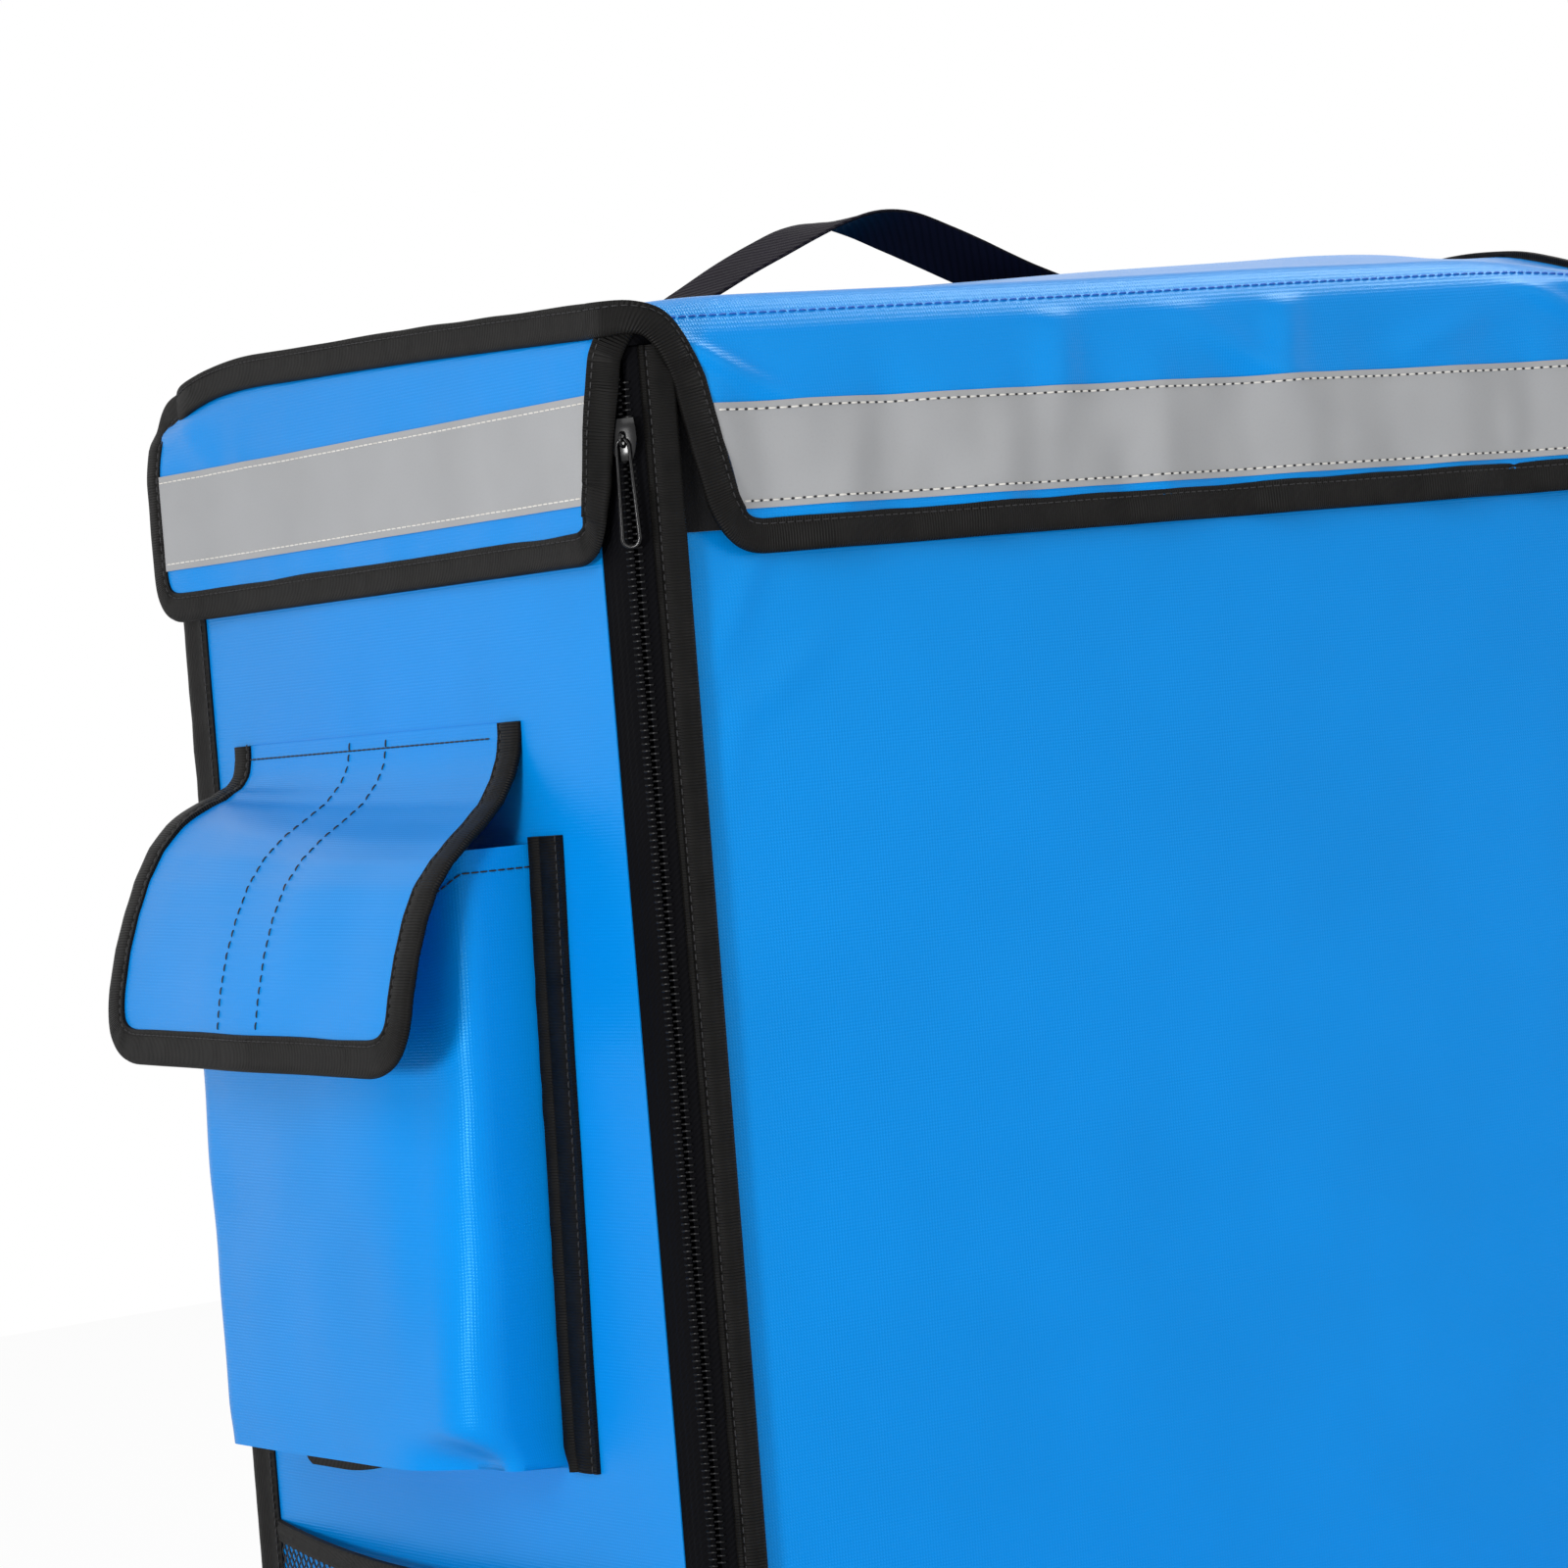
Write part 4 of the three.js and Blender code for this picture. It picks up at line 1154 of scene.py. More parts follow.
@dataclass
class Zips:
    """The corner zips: woven tapes with ridges, nylon coils, sliders and pulls."""

    split: float = 1.64
    gap: float = 0.9
    tape_thick: float = 1.0
    wall_reach: float = 24.5
    door_reach: float = 13.0
    low: float = 34.9
    high: float = 531.1
    pitch: float = 2.4
    tooth_long: float = 3.1
    tooth_radius: float = 0.52
    tooth_over: float = 1.55
    tooth_out: float = 1.05
    tape_lift: float = -0.35
    rib_pitch: float = 3.6
    rib_rise: float = 0.42
    slider_height: float = 507.0

    def build(self) -> None:
        """Builds and dresses both zips."""
        tooth = self.tooth()
        for side in Side:
            skin = WallSkin(side)
            self.half(skin, tooth, "wall", SHELL, 1, skin.run_of_side(self.wall_reach))
            self.half(skin, tooth, "door", DOOR, -1, skin.run_of_front(self.door_reach))
            Slider(skin, self.split, self.slider_height).build()

    def half(self, skin: WallSkin, tooth: Shape, part: str, mount: Mount, sign: int,
             end: float) -> None:
        """One half of a zip: its coil and the ridged tape that the coil is sewn to.

        Args:
            skin: The wall.
            tooth: One turn of the coil.
            part: The half's word in its names.
            mount: What carries it.
            sign: The way from the zip's middle to the tape's far edge.
            end: The run of that edge.
        """
        name = f"{skin.side.label}_zip_{part}"
        start = self.split + sign * self.gap
        coil = Shape()
        for k in range(int((self.high - self.low) / self.pitch)):
            height = self.low + (k + (0.5 if sign > 0 else 0.0)) * self.pitch
            out = skin.out(self.split, height)
            over = skin.place(self.split + 0.5, height) - skin.place(self.split - 0.5, height)
            over.normalize()
            middle = skin.place(self.split, height) + over * (sign * self.tooth_over) + out * self.tooth_out
            turn = Matrix((over * sign, out, UP)).transposed()
            coil.add([middle + turn @ p for p in tooth.points], tooth.faces)
        teeth = coil.dress(f"{name}_coil", Finishes.coil, mount, "zip_nylon", f"{name}_half",
                           crease=TAPE_CREASE)

        def ribs(across: float, down: float) -> float:
            """The height of the tape's woven ribs."""
            far = (across - start) * sign
            wave = 0.5 - 0.5 * math.cos(2 * math.pi * far / self.rib_pitch)
            return self.rib_rise * wave * clamp(far / 2)

        rows = grid(spaced(start, end, 0.9), spaced(WALL_FOOT, WALL_TOP, 24))
        Sheet(f"{name}_tape", Raised(skin, ribs), rows, self.tape_thick, self.tape_lift).dress(
            Finishes.tape, mount, "zip_nylon", f"{name}_half", held="stretched",
            rests_on=f"{skin.side.label}_foam", trim=[teeth])

    def tooth(self) -> Shape:
        """One turn of the coil, as a rounded bar across the zip, from a cylinder."""
        bpy.ops.object.select_all(action="DESELECT")
        bpy.ops.mesh.primitive_cylinder_add(vertices=8, radius=self.tooth_radius, depth=self.tooth_long,
                                            rotation=(0, math.pi / 2, 0))
        return moulded(bpy.context.object, self.tooth_radius * 0.6, 1)


@dataclass
class Slider:
    """A zip slider with a long looped pull."""

    skin: WallSkin
    split: float
    height: float
    long: float = 15.0
    half: float = 5.0
    plate_out: float = 2.7
    plate_thick: float = 1.3
    bridge_out: float = 4.2
    bridge_radius: float = 2.5
    bridge_wire: float = 0.62
    pull_out: float = 4.31
    pull_long: float = 39.15
    pull_half: float = 4.0
    pull_wire: float = 0.85

    def build(self) -> None:
        """Builds and dresses the slider and its pull."""
        for shape, out, name, joint, node in (
                (self.body(), 0.0, "slider_body", "zip_slider", "slider"),
                (self.pull(), self.pull_out, "pull_loop", "zip_pull", "puller")):
            label = self.skin.side.label
            turn = self.frame(out)
            shape.points = [turn @ point for point in shape.points]
            shape.dress(f"{label}_{name}", Finishes.enamel, Mount(f"{label}_{joint}"), "black_metal",
                        f"{label}_{node}", crease=MOULD_CREASE)

    def frame(self, out: float) -> Matrix:
        """The matrix from the slider's own axes (across, out, up) to the bag."""
        facing = self.skin.out(self.split, self.height)
        turn = Matrix((facing.cross(UP).normalized(), facing, UP)).transposed().to_4x4()
        turn.translation = spread_out(self.skin.place(self.split, self.height) + facing * out)
        return turn

    def body(self) -> Shape:
        """The slider's plate, its diamond-shaped shoulders and its bridge, from a cube."""
        cube = new_cube((2 * self.half, self.plate_thick, self.long), (0, self.plate_out, 0))
        bpy.ops.object.mode_set(mode="EDIT")
        work = bmesh.from_edit_mesh(cube.data)
        for edge in work.edges:
            edge.select_set(abs(edge.verts[0].co.z - edge.verts[1].co.z) > 5)
        bmesh.update_edit_mesh(cube.data)
        bpy.ops.mesh.subdivide(number_cuts=3)
        work = bmesh.from_edit_mesh(cube.data)
        for vert in work.verts:
            share = vert.co.z / (self.long / 2)
            vert.co.x *= 1.0 - 0.42 * clamp(-share) ** 1.5 - 0.1 * clamp(share) ** 2
        bmesh.update_edit_mesh(cube.data)
        bpy.ops.mesh.primitive_torus_add(
            major_segments=20, minor_segments=8, major_radius=self.bridge_radius,
            minor_radius=self.bridge_wire, location=(0, self.bridge_out, 0), rotation=(0, math.pi / 2, 0))
        bpy.ops.object.mode_set(mode="OBJECT")
        shape = moulded(cube, 0.4, 2)
        shape.spreads = False
        return shape

    def pull(self) -> Shape:
        """The pull: a ring that is stretched to a long loop and hangs from its hinge's axis."""
        bpy.ops.object.select_all(action="DESELECT")
        bpy.ops.mesh.primitive_torus_add(
            major_segments=36, minor_segments=10, major_radius=self.pull_half - self.pull_wire,
            minor_radius=self.pull_wire, rotation=(math.pi / 2, 0, 0))
        ring = bpy.context.object
        bpy.ops.object.transform_apply(location=True, rotation=True, scale=True)
        fall = self.pull_long - 2 * self.pull_half
        for vert in ring.data.vertices:
            vert.co.z -= self.pull_half - self.pull_wire + (fall if vert.co.z < 0.01 else 0.0)
            vert.co.x *= 0.72 + 0.28 * ease(-vert.co.z / self.pull_long * 1.3)
        shape = moulded(ring, 0.1, 1)
        shape.spreads = False
        return shape


@dataclass
class CornerBindings:
    """The rolled tapes beside the front's cloth and the wide ones round the back corners."""

    front_out: float = 7.8
    front_in_top: float = 20.3
    front_in_foot: float = 17.8
    front_thread: Flat = (2.6, 2.35)
    back_start: float = 319.5
    back_reach: float = 34.0
    back_inset: float = 2.5
    band_half: float = 228.6
    band_low: float = 473.1

    def build(self) -> None:
        """Builds and dresses the four bindings and the loop band."""
        heights = spaced(WALL_FOOT, WALL_TOP, 4)
        for side in Side:
            skin = WallSkin(side)
            outer = skin.run_of_front(self.front_out)
            stations = seam(skin, [(outer, h) for h in heights], side.value, 0.2)
            swept(stations, self.rolled_profile).dress(
                f"front_binding_tape_{side.label}", Finishes.binding, DOOR, "black_tape",
                f"front_binding_{side.label}")
            stitched([s.moved(*self.front_thread) for s in stations]).dress(
                f"front_binding_thread_{side.label}", Finishes.black_thread, DOOR, "black_tape")
            start = skin.run_of_side(self.back_start)
            lines = [[(start + inset, h) for h in heights]
                     for inset in (self.back_inset, self.back_reach - self.back_inset)]
            sewn = stitched(*(seam(skin, line, 1, 2.0) for line in lines)).dress(
                f"back_binding_thread_{side.label}", Finishes.black_thread, SHELL, "black_tape")
            rows = grid(spaced(start, start + self.back_reach, 1.5), spaced(WALL_FOOT, WALL_TOP, 6))
            Sheet(f"back_binding_tape_{side.label}", Raised(skin, self.back_ridges), rows, 1.6, 1.5).dress(
                Finishes.binding, SHELL, "black_tape", f"back_binding_{side.label}", held="stretched",
                rests_on=f"{side.label}_wall_cloth", trim=[sewn])
        rows = grid(spaced(-self.band_half, self.band_half, 6), spaced(self.band_low, WALL_TOP, 6))
        Sheet("front_loop_band", FrontSkin(), rows, 0.9, 1.1).dress(
            Finishes.nap, DOOR, "black_tape", "front_loop_strip", held="stretched",
            rests_on="front_wall_cloth")

    def rolled_profile(self, index: int, far: float) -> list[Flat]:
        """Section of the rolled front binding: a cord-like roll and a flat sewn part."""
        share = clamp(far / (WALL_TOP - WALL_FOOT))
        wide = mix(self.front_in_foot, self.front_in_top, share) - self.front_out
        lumps = 0.25 * soft_noise(far, 0, 9, 3.0)
        return [(0, 0.2), (0.4, 2.0), (1.6, 2.9 + lumps), (2.4, 2.3), (3.2, 2.9 + lumps),
                (wide * 0.45, 3.5 + lumps), (wide * 0.66, 3.4 + lumps), (wide - 2.2, 2.6),
                (wide - 1.2, 2.4), (wide - 0.3, 1.6), (wide, 0.2), (wide * 0.6, -0.3),
                (wide * 0.3, -0.3)]

    @staticmethod
    def back_ridges(across: float, down: float) -> float:
        """The height of the back binding's two soft lengthwise ridges."""
        return 0.3 * soft_noise(across, down, 12, 8.0) + 0.3 * math.cos(across * 0.55)


@dataclass
class Lid:
    """The lid's cloth in one piece with its front flap, its edge binding, tape and handle."""

    skin: LidSkin = LidSkin()
    turned: float = 11.7
    low_left: float = 463.8
    low_right: float = 466.0
    corner: float = 27.0
    edge_line: Through = Through((
        (465, 217.0), (478, 220.2), (495, 224.6), (506, 227.9), (523.5, 230.2), (531, 232.4),
        (545, 236.5)))
    tape_high: tuple[float, float] = (479.8, 517.4)
    bind_wide: float = 12.4
    neck: float = -9.0
    neck_start: float = 13.0

    @property
    def half(self) -> float:
        """Half the cut's width behind the neck."""
        return LidSkin.EDGE + self.turned

    @property
    def back(self) -> float:
        """The cut's length behind the crease."""
        return LidSkin.BEHIND + self.turned

    @property
    def back_corner(self) -> float:
        """The radius of the cut's back corners."""
        return LidSkin.CORNER + self.turned

    def low(self, x: float) -> float:
        """The height of the front flap's lower edge."""
        return mix(self.low_left, self.low_right, clamp((x + 200) / 400))

    def flap_edge(self, side: Side) -> list[Flat]:
        """The flap's free edge as (x, down), from under the crease to its middle."""
        sign = side.value
        corners = [(self.edge_line.at(h), h) for h in (531, 523.5, 500, self.low(sign * 215))]
        corners += [(x, self.low(sign * x)) for x in (150, 75, 0)]
        line = rounded(corners, [14, 30, self.corner, 30, 30], 2.5)
        return [(x * sign, h - self.skin.crease.at(x * sign)) for x, h in line]

    def top_edge(self, side: Side) -> list[Flat]:
        """The lid's edge as (x, down), from the back's middle to near the front corner."""
        line = rounded([(0, self.back), (self.half, self.back), (self.half, 15.0)], [self.back_corner], 2.5)
        return [(x * side.value, d) for x, d in line]

    def half_at(self, side: Side, down: float) -> float:
        """Half the cut's width at a distance behind or below the crease."""
        if down > self.neck_start:
            past = clamp((down - self.back + self.back_corner) / self.back_corner)
            return self.half - self.back_corner * (1 - math.sqrt(1 - past * past))
        if down > self.neck:
            share = (down - self.neck) / (self.neck_start - self.neck)
            return mix(self.half_at(side, self.neck), self.half, ease(share) ** 1.6)
        line = self.flap_edge(side)
        for (x0, d0), (x1, d1) in zip(line, line[1:]):
            if d1 <= down <= d0 and d0 > d1:
                return abs(mix(x0, x1, (d0 - down) / (d0 - d1)))
        return abs(line[0][0]) + 1.5 if down > line[0][1] else 190.0

    def build(self) -> None:
        """Builds and dresses the lid: its trims first, then the cloth that they are sewn to."""
        left, right = self.half_ring(Side.LEFT), self.half_ring(Side.RIGHT)
        ring = smoothed(left + list(reversed(right[1:-1])), 2, True)
        edge = bound("lid_edge", Binding(wide=self.bind_wide, half_thick=1.75, seed=1.0), ring,
                     LID_FRONT_BEND, "lid_binding_left", "lid_binding_right", "front_flap_binding",
                     closed=True)
        line = resampled([(-240, 4.2), (228, 4.2)], 3)
        sewn = stitched(seam(self.skin, line, 1, 0.3), thread=Thread(4.3, 3.2, 0.34)).dress(
            "lid_front_thread", Finishes.blue_thread, LID_FRONT_BEND, "blue_cloth")
        Sheet("lid_cover_cloth", self.skin, self.rows(), 1.2).dress(
            Finishes.cloth, LID_FRONT_BEND, "blue_cloth", "lid_panel", "front_flap", held="laid",
            rests_on="lid_foam_board", trim=[*edge, sewn], crease=TAPE_CREASE)
        self.tape()
        Handle(self.skin).build()

    def rows(self) -> list[list[Flat]]:
        """The cover's cut: lid, turned edges and front flap."""
        back = self.back - TRIM
        downs = spaced(back, back - 48, 2.4) + spaced(back - 54, 24, 7) + spaced(18, 0.4, 2)
        levels = [0.02, 0.045, 0.07, 0.1] + spaced(0.135, 0.68, 0.035)
        levels += [0.72, 0.76, 0.8, 0.84, 0.88, 0.915, 0.945, 0.97, 0.988, 1.0]
        rim = [0.945, 0.9535, 0.958, 0.963, 0.9685, 0.974, 0.982, 0.991, 1.0]
        shares = [-s for s in reversed(rim)] + spaced(-0.93, 0.93, 0.0155) + rim
        rows = []
        for down in downs:
            half = self.half_at(Side.LEFT, down) - TRIM
            rows.append([(half * share, down) for share in shares])
        for level in levels:
            def fall(x: float) -> float:
                """How far below the crease this row runs at an x."""
                return -level * (self.skin.crease.at(x) - self.low(x) - TRIM)
            first = TRIM - self.half_at(Side.LEFT, fall(-225))
            last = self.half_at(Side.RIGHT, fall(225)) - TRIM
            places = [mix(first, last, (share + 1) / 2) for share in shares]
            rows.append([(x, fall(x)) for x in places])
        return rows

    def turned_corner(self, side: Side) -> list[Station]:
        """The band's way from the lid's side round the corner to the flap's edge.

        Each knot holds a place, from the corner in and down, and the directions across and out.
        A cubic curve runs through the places.
        """
        knots = [((-0.7, 14.0, 0.0), (0, 0, 1), (-1, 0, 0)),
                 ((-0.3, 6.0, -0.2), (0.08, -0.06, 1), (-0.93, -0.37, 0)),
                 ((4.0, 0.2, 0.1), (0.45, -0.1, 0.89), (-0.6, -0.8, 0.1)),
                 ((10.0, -1.6, -0.6), (0.8, -0.05, 0.6), (-0.25, -0.96, 0.1)),
                 ((15.9, -1.3, -5.4), (0.95, 0, 0.32), (-0.05, -1, 0.05)),
                 ((19.4, -1.0, -11.0), (0.97, 0, 0.26), (0, -1, 0))]
        foot = self.skin.place(*self.top_edge(side)[-1]).z
        mirror = Matrix.Diagonal((-side.value, 1, 1))
        start = Vector((LID_HALF * side.value, LID_FRONT, foot))
        stations = []
        for i, (first, last) in enumerate(zip(knots, knots[1:])):
            p0, p1, p2, p3 = (Vector(knot[0]) for knot in (
                knots[max(i - 1, 0)], first, last, knots[min(i + 2, len(knots) - 1)]))
            for k in range(5 if i < len(knots) - 2 else 6):
                t = k / 5
                spot = (2 * p1 + (p2 - p0) * t + (2 * p0 - 5 * p1 + 4 * p2 - p3) * t * t
                        + (3 * p1 - p0 - 3 * p2 + p3) * t ** 3) / 2
                across = Vector(first[1]).lerp(Vector(last[1]), t)
                out = Vector(first[2]).lerp(Vector(last[2]), t).normalized()
                across = (across - out * across.dot(out)).normalized()
                stations.append(Station(start + mirror @ spot, mirror @ across, mirror @ out))
        return stations

    def half_ring(self, side: Side) -> list[Station]:
        """The band's stations over one half, from the back's middle to the flap's middle."""
        turn = -side.value
        top = seam(self.skin, self.top_edge(side), turn, SUNK)
        flap = seam(self.skin, self.flap_edge(side), turn, SUNK)
        corner = self.turned_corner(side)
        return top[:-1] + corner + [s for s in flap if s.place.z < corner[-1].place.z - 2.5]

    def tape(self) -> None:
        """The front flap's reflective tape, its two rows of stitches, and dark dashes beside them that are
        painted shade in their needle holes.
        """
        low, high = self.tape_high
        reach = self.bind_wide + 0.6
        crease = self.skin.crease
        rows = []
        for height in spaced(high, low, 2.4):
            half = self.edge_line.at(height) - reach
            rows.append([(x, height - crease.at(x)) for x in shared(-half, half, 130)])
        floats, holes = [], []
        for height in (high - TAPE_EDGE, low + TAPE_EDGE):
            half = self.edge_line.at(height) - reach - 1
            line = [(x, height - crease.at(x)) for x in spaced(-half, half, 3)]
            floats.append(seam(self.skin, line, 1, ON_TAPE))
            # Dark dashes just off the stitches: painted shade in the needle holes.
            line = [(x + 2.2, height - crease.at(x)) for x in spaced(-half, half - 3, 3)]
            holes.append(seam(self.skin, line, 1, 0.72))
        sewn = stitched(*floats, thread=Thread(4.4, 3.0, 0.34)).dress(
            "front_tape_thread", Finishes.pale_thread, LID_FRONT_BEND, "reflective")
        hole_shade = stitched(*holes, thread=Thread(4.4, 1.1, 0.4)).dress(
            "front_tape_holes", Finishes.black_thread, LID_FRONT_BEND, "reflective")
        Sheet("front_reflective_tape", self.skin, rows, 0.5, 0.7).dress(
            Finishes.beads, LID_FRONT_BEND, "reflective", "front_reflector", held="laid",
            rests_on="lid_cover_cloth", trim=[sewn, hole_shade])


@dataclass
class Handle:
    """The lid's carry handle: a webbing strap that twists on its way over."""

    lid: LidSkin
    wide: float = 25.0
    thick: float = 1.7
    behind: float = 22.0
    half_long: float = 160.0
    foot_out: float = 157.0
    foot_in: float = 141.0
    foot_half: float = 9.0

    def path(self) -> list[tuple[Vector, float]]:
        """Points of the strap's middle line with its twist in degrees."""
        knots = [(-160, None, 0), (-139, None, 0), (-120, None, 0), (-104, 17.5, 6),
                 (-87, 24.6, 11), (-64, 35.6, 14), (-47, 42.8, 15), (-31, 49.0, 13), (-16, 52.6, 4),
                 (1, 52.4, -16), (18, 48.6, -33), (36, 42.0, -37), (51, 36.0, -38), (63, 31.1, -36),
                 (80, 25.4, -28), (104, 20.5, -12), (120, None, -2), (139, None, 0), (160, None, 0)]
        heights = []
        for x, rise, _ in knots:
            ground = self.lid.top(x, self.behind) + self.thick / 2 + 0.4
            heights.append((x, ground if rise is None else max(ground, HEIGHT + rise)))
        line = Through(tuple(heights))
        turn = Through(tuple((x, twist) for x, _, twist in knots))
        return [(Vector((x, self.behind, line.at(x))), turn.at(x))
                for x in spaced(-self.half_long, self.half_long, 3)]

    def build(self) -> None:
        """Builds and dresses the strap and the stitched boxes on its feet."""
        places, twists = zip(*self.path())
        stations = []
        for place, along, twist in zip(places, headings(places), twists):
            over = Matrix.Rotation(math.radians(twist), 3, along) @ Vector((0, 1, 0))
            stations.append(Station(place, over, along.cross(over)))
        swept(stations, lambda i, far: flat_strap(self.wide / 2, self.thick / 2)).dress(
            "carry_handle_webbing", Finishes.webbing, LID, "webbing", "top_handle")
        runs = []
        for sign in (-1, 1):
            out, near, half = sign * self.foot_out, sign * self.foot_in, self.foot_half
            line = resampled([(out, -half), (out, half), (near, half), (near, -half), (out, -half),
                              (near, half)], 2)
            runs.append([Station(Vector((x, self.behind + y, self.lid.top(x, self.behind) + self.thick
                                         + 0.7)), Vector((1, 0, 0)), UP) for x, y in line])
        stitched(*runs, thread=Thread(3.0, 2.4, 0.32)).dress(
            "carry_handle_thread", Finishes.black_thread, LID, "webbing")


@dataclass
class SideFlaps:
    """The lid's side flaps, with bindings round three edges and reflective tapes."""

    low: float = 465.0
    back: float = 174.8
    front: Through = Through((
        (465, -151.0), (468, -152.3), (476, -158.7), (491, -164.1), (509, -166.8), (525, -170.1),
        (534, -171.6), (540.5, -174.7), (548, -178.0)))
    tape_high: tuple[float, float] = (486.0, 524.0)
    bind_wide: float = 11.8

    def build(self) -> None:
        """Builds and dresses both flaps."""
        path = self.edge()
        for side in Side:
            name, hinge = side.label, side.value * LID_HALF
            skin = SideFlapSkin(side)
            mount = Mount("lid", f"{name}_cover_flap", (hinge, 0, 549.0), (hinge, 0, 541.0))
            binding = Binding(wide=self.bind_wide, half_thick=1.6, seed=20.0 + side.value)
            stations = smoothed(seam(skin, path, side.value, SUNK), 2, False)
            edge = bound(f"{name}_flap_edge", binding, stations, mount, f"{name}_flap_binding")
            Sheet(f"{name}_flap_cloth", skin, self.rows(skin, path), 1.2).dress(
                Finishes.cloth, mount, "blue_cloth", f"{name}_flap", held="hung",
                rests_on="lid_cover_cloth", trim=edge)
            self.tape(skin, mount)

    def edge(self) -> list[Flat]:
        """The cut's free edge, from the top of its front down, along and up the back."""
        corners = [(self.front.at(h), h) for h in (548, 540.5, 534, 525, 509, 491, 478)]
        corners += [(self.front.at(self.low) - 3, self.low), (self.back, self.low),
                    (self.back, 555.5), (126, 557.5)]
        return rounded(corners, [4, 6, 8, 14, 14, 10, 19, 22, 27], 2.5)

    def rows(self, skin: SideFlapSkin, path: list[Flat]) -> list[list[Flat]]:
        """Rows of flat places inside the cut, from its top edge down."""
        turn = next(i for i, p in enumerate(path) if p[1] < self.low + 0.6)
        front, back = path[:turn + 1], path[turn:]

        def height(y: float, level: float) -> float:
            """The height at a y of the row at a level."""
            return mix(skin.top(y), self.low + TRIM, level)

        def crossed(line: list[Flat], level: float, fallback: float) -> float:
            """The y at which a row at a level crosses a line."""
            for (y0, z0), (y1, z1) in zip(line, line[1:]):
                gap0, gap1 = z0 - height(y0, level), z1 - height(y1, level)
                if gap0 * gap1 <= 0 and gap0 != gap1:
                    return mix(y0, y1, gap0 / (gap0 - gap1))
            return fallback

        levels = [0.0, 0.02, 0.045, 0.075] + spaced(0.11, 0.78, 0.04)
        levels += [0.82, 0.87, 0.91, 0.945, 0.97, 0.987, 1.0]
        rows = []
        for level in levels:
            first = crossed(front, level, path[0][0]) + TRIM
            last = crossed(back, level, path[-1][0] + 8) - TRIM
            rows.append([(y, height(y, level)) for y in shared(first, last, 100)])
        return rows

    def tape(self, skin: SideFlapSkin, mount: Mount) -> None:
        """The reflective tape and its two rows of stitches."""
        low, high = self.tape_high
        reach = self.bind_wide - 0.5
        rows = []
        for height in spaced(high, low, 2.4):
            places = shared(self.front.at(height) + reach, self.back - reach, 84)
            rows.append([(y, height) for y in places])
        runs = []
        for height in (high - TAPE_EDGE, low + TAPE_EDGE):
            places = spaced(self.front.at(height) + reach + 1, self.back - reach - 1, 3)
            runs.append(seam(skin, [(y, height) for y in places], 1, ON_TAPE))
        name = skin.side.label
        sewn = stitched(*runs, thread=Thread(3.6, 2.7, 0.32)).dress(
            f"{name}_tape_thread", Finishes.pale_thread, mount, "reflective")
        Sheet(f"{name}_reflective_tape", skin, rows, 0.5, 0.7).dress(
            Finishes.beads, mount, "reflective", f"{name}_reflector", held="hung",
            rests_on=f"{name}_flap_cloth", trim=[sewn])


@dataclass(frozen=True)
class PocketSkin(Skin):
    """The flapped pocket, as (distance round its plan, distance down from its hem)."""

    wall: float = -HALF_WIDE - 0.6
    front: float = -79.5
    back: float = 111.5
    deep: float = 41.5
    front_lean: float = 4.0
    back_lean: float = 4.0
    top: float = 368.5
    drop: float = 226.0
    line: tuple[Flat, ...] = ()

    @staticmethod
    def plan() -> tuple[Flat, ...]:
        """The pocket's plan: front gusset, face and back gusset, as (y, out) a step apart."""
        skin = PocketSkin
        corners = [(skin.front, 0.0), (skin.front + skin.front_lean, skin.deep),
                   (skin.back - skin.back_lean, skin.deep), (skin.back, 0.0)]
        return tuple(rounded(corners, [20.0, 9.0], 1.0))

    def place(self, across: float, down: float) -> Vector:
        """The point at a distance round the plan and down from the hem."""
        y, out = point_on(self.line, across)
        reach = out / self.deep
        low = ease((down - self.drop + 18) / 18)
        # The front edge is pressed in, a little at the hem and more at the foot.
        pressed = math.exp(-((y - self.front - 16) / 20) ** 2)
        keep = 1 - 0.03 * ease(down / 60) - low * (0.02 + 0.4 * pressed)
        keep -= 0.13 * pressed * (1 - ease((down - 60) / 150))
        # The face is filled, with soft waves and one long dent.
        full = math.sin(math.pi * clamp(down / self.drop)) ** 0.8
        fill = 1.6 * math.sin(math.pi * clamp((y + 60) / 160)) + 1.3 * soft_noise(y, down, 40, 3.7)
        out = out * keep + reach * full * fill
        out += Crease(20, 150, 84, 90, 12, -2.6).at(across, down) * reach
        # Past its foot the cloth runs back to the wall.
        floor = 0.0
        if down > self.drop:
            share = clamp((down - self.drop) / self.deep)
            out *= 1 - share
            floor = 1.5 * share
        # The hem dips in front of the face, and the pocket is wider at its foot.
        dip = 8.0 * ease((reach - 0.7) / 0.28) * (1 - ease(down / 120))
        height = self.top - dip - min(down, self.drop) - floor + 0.6 * reach * low
        wide_low = ease((down - 40) / 150) * 2.2
        y += mix(-wide_low, wide_low, clamp((y - self.front) / (self.back - self.front))) * reach * 0.5
        y -= 10 * (1 - clamp(down / self.drop)) * (1 - ease((y - self.front) / 14))
        lean = side_bow(y, height, Side.LEFT)
        return Vector((self.wall - lean - max(out, 0.0), y, height))


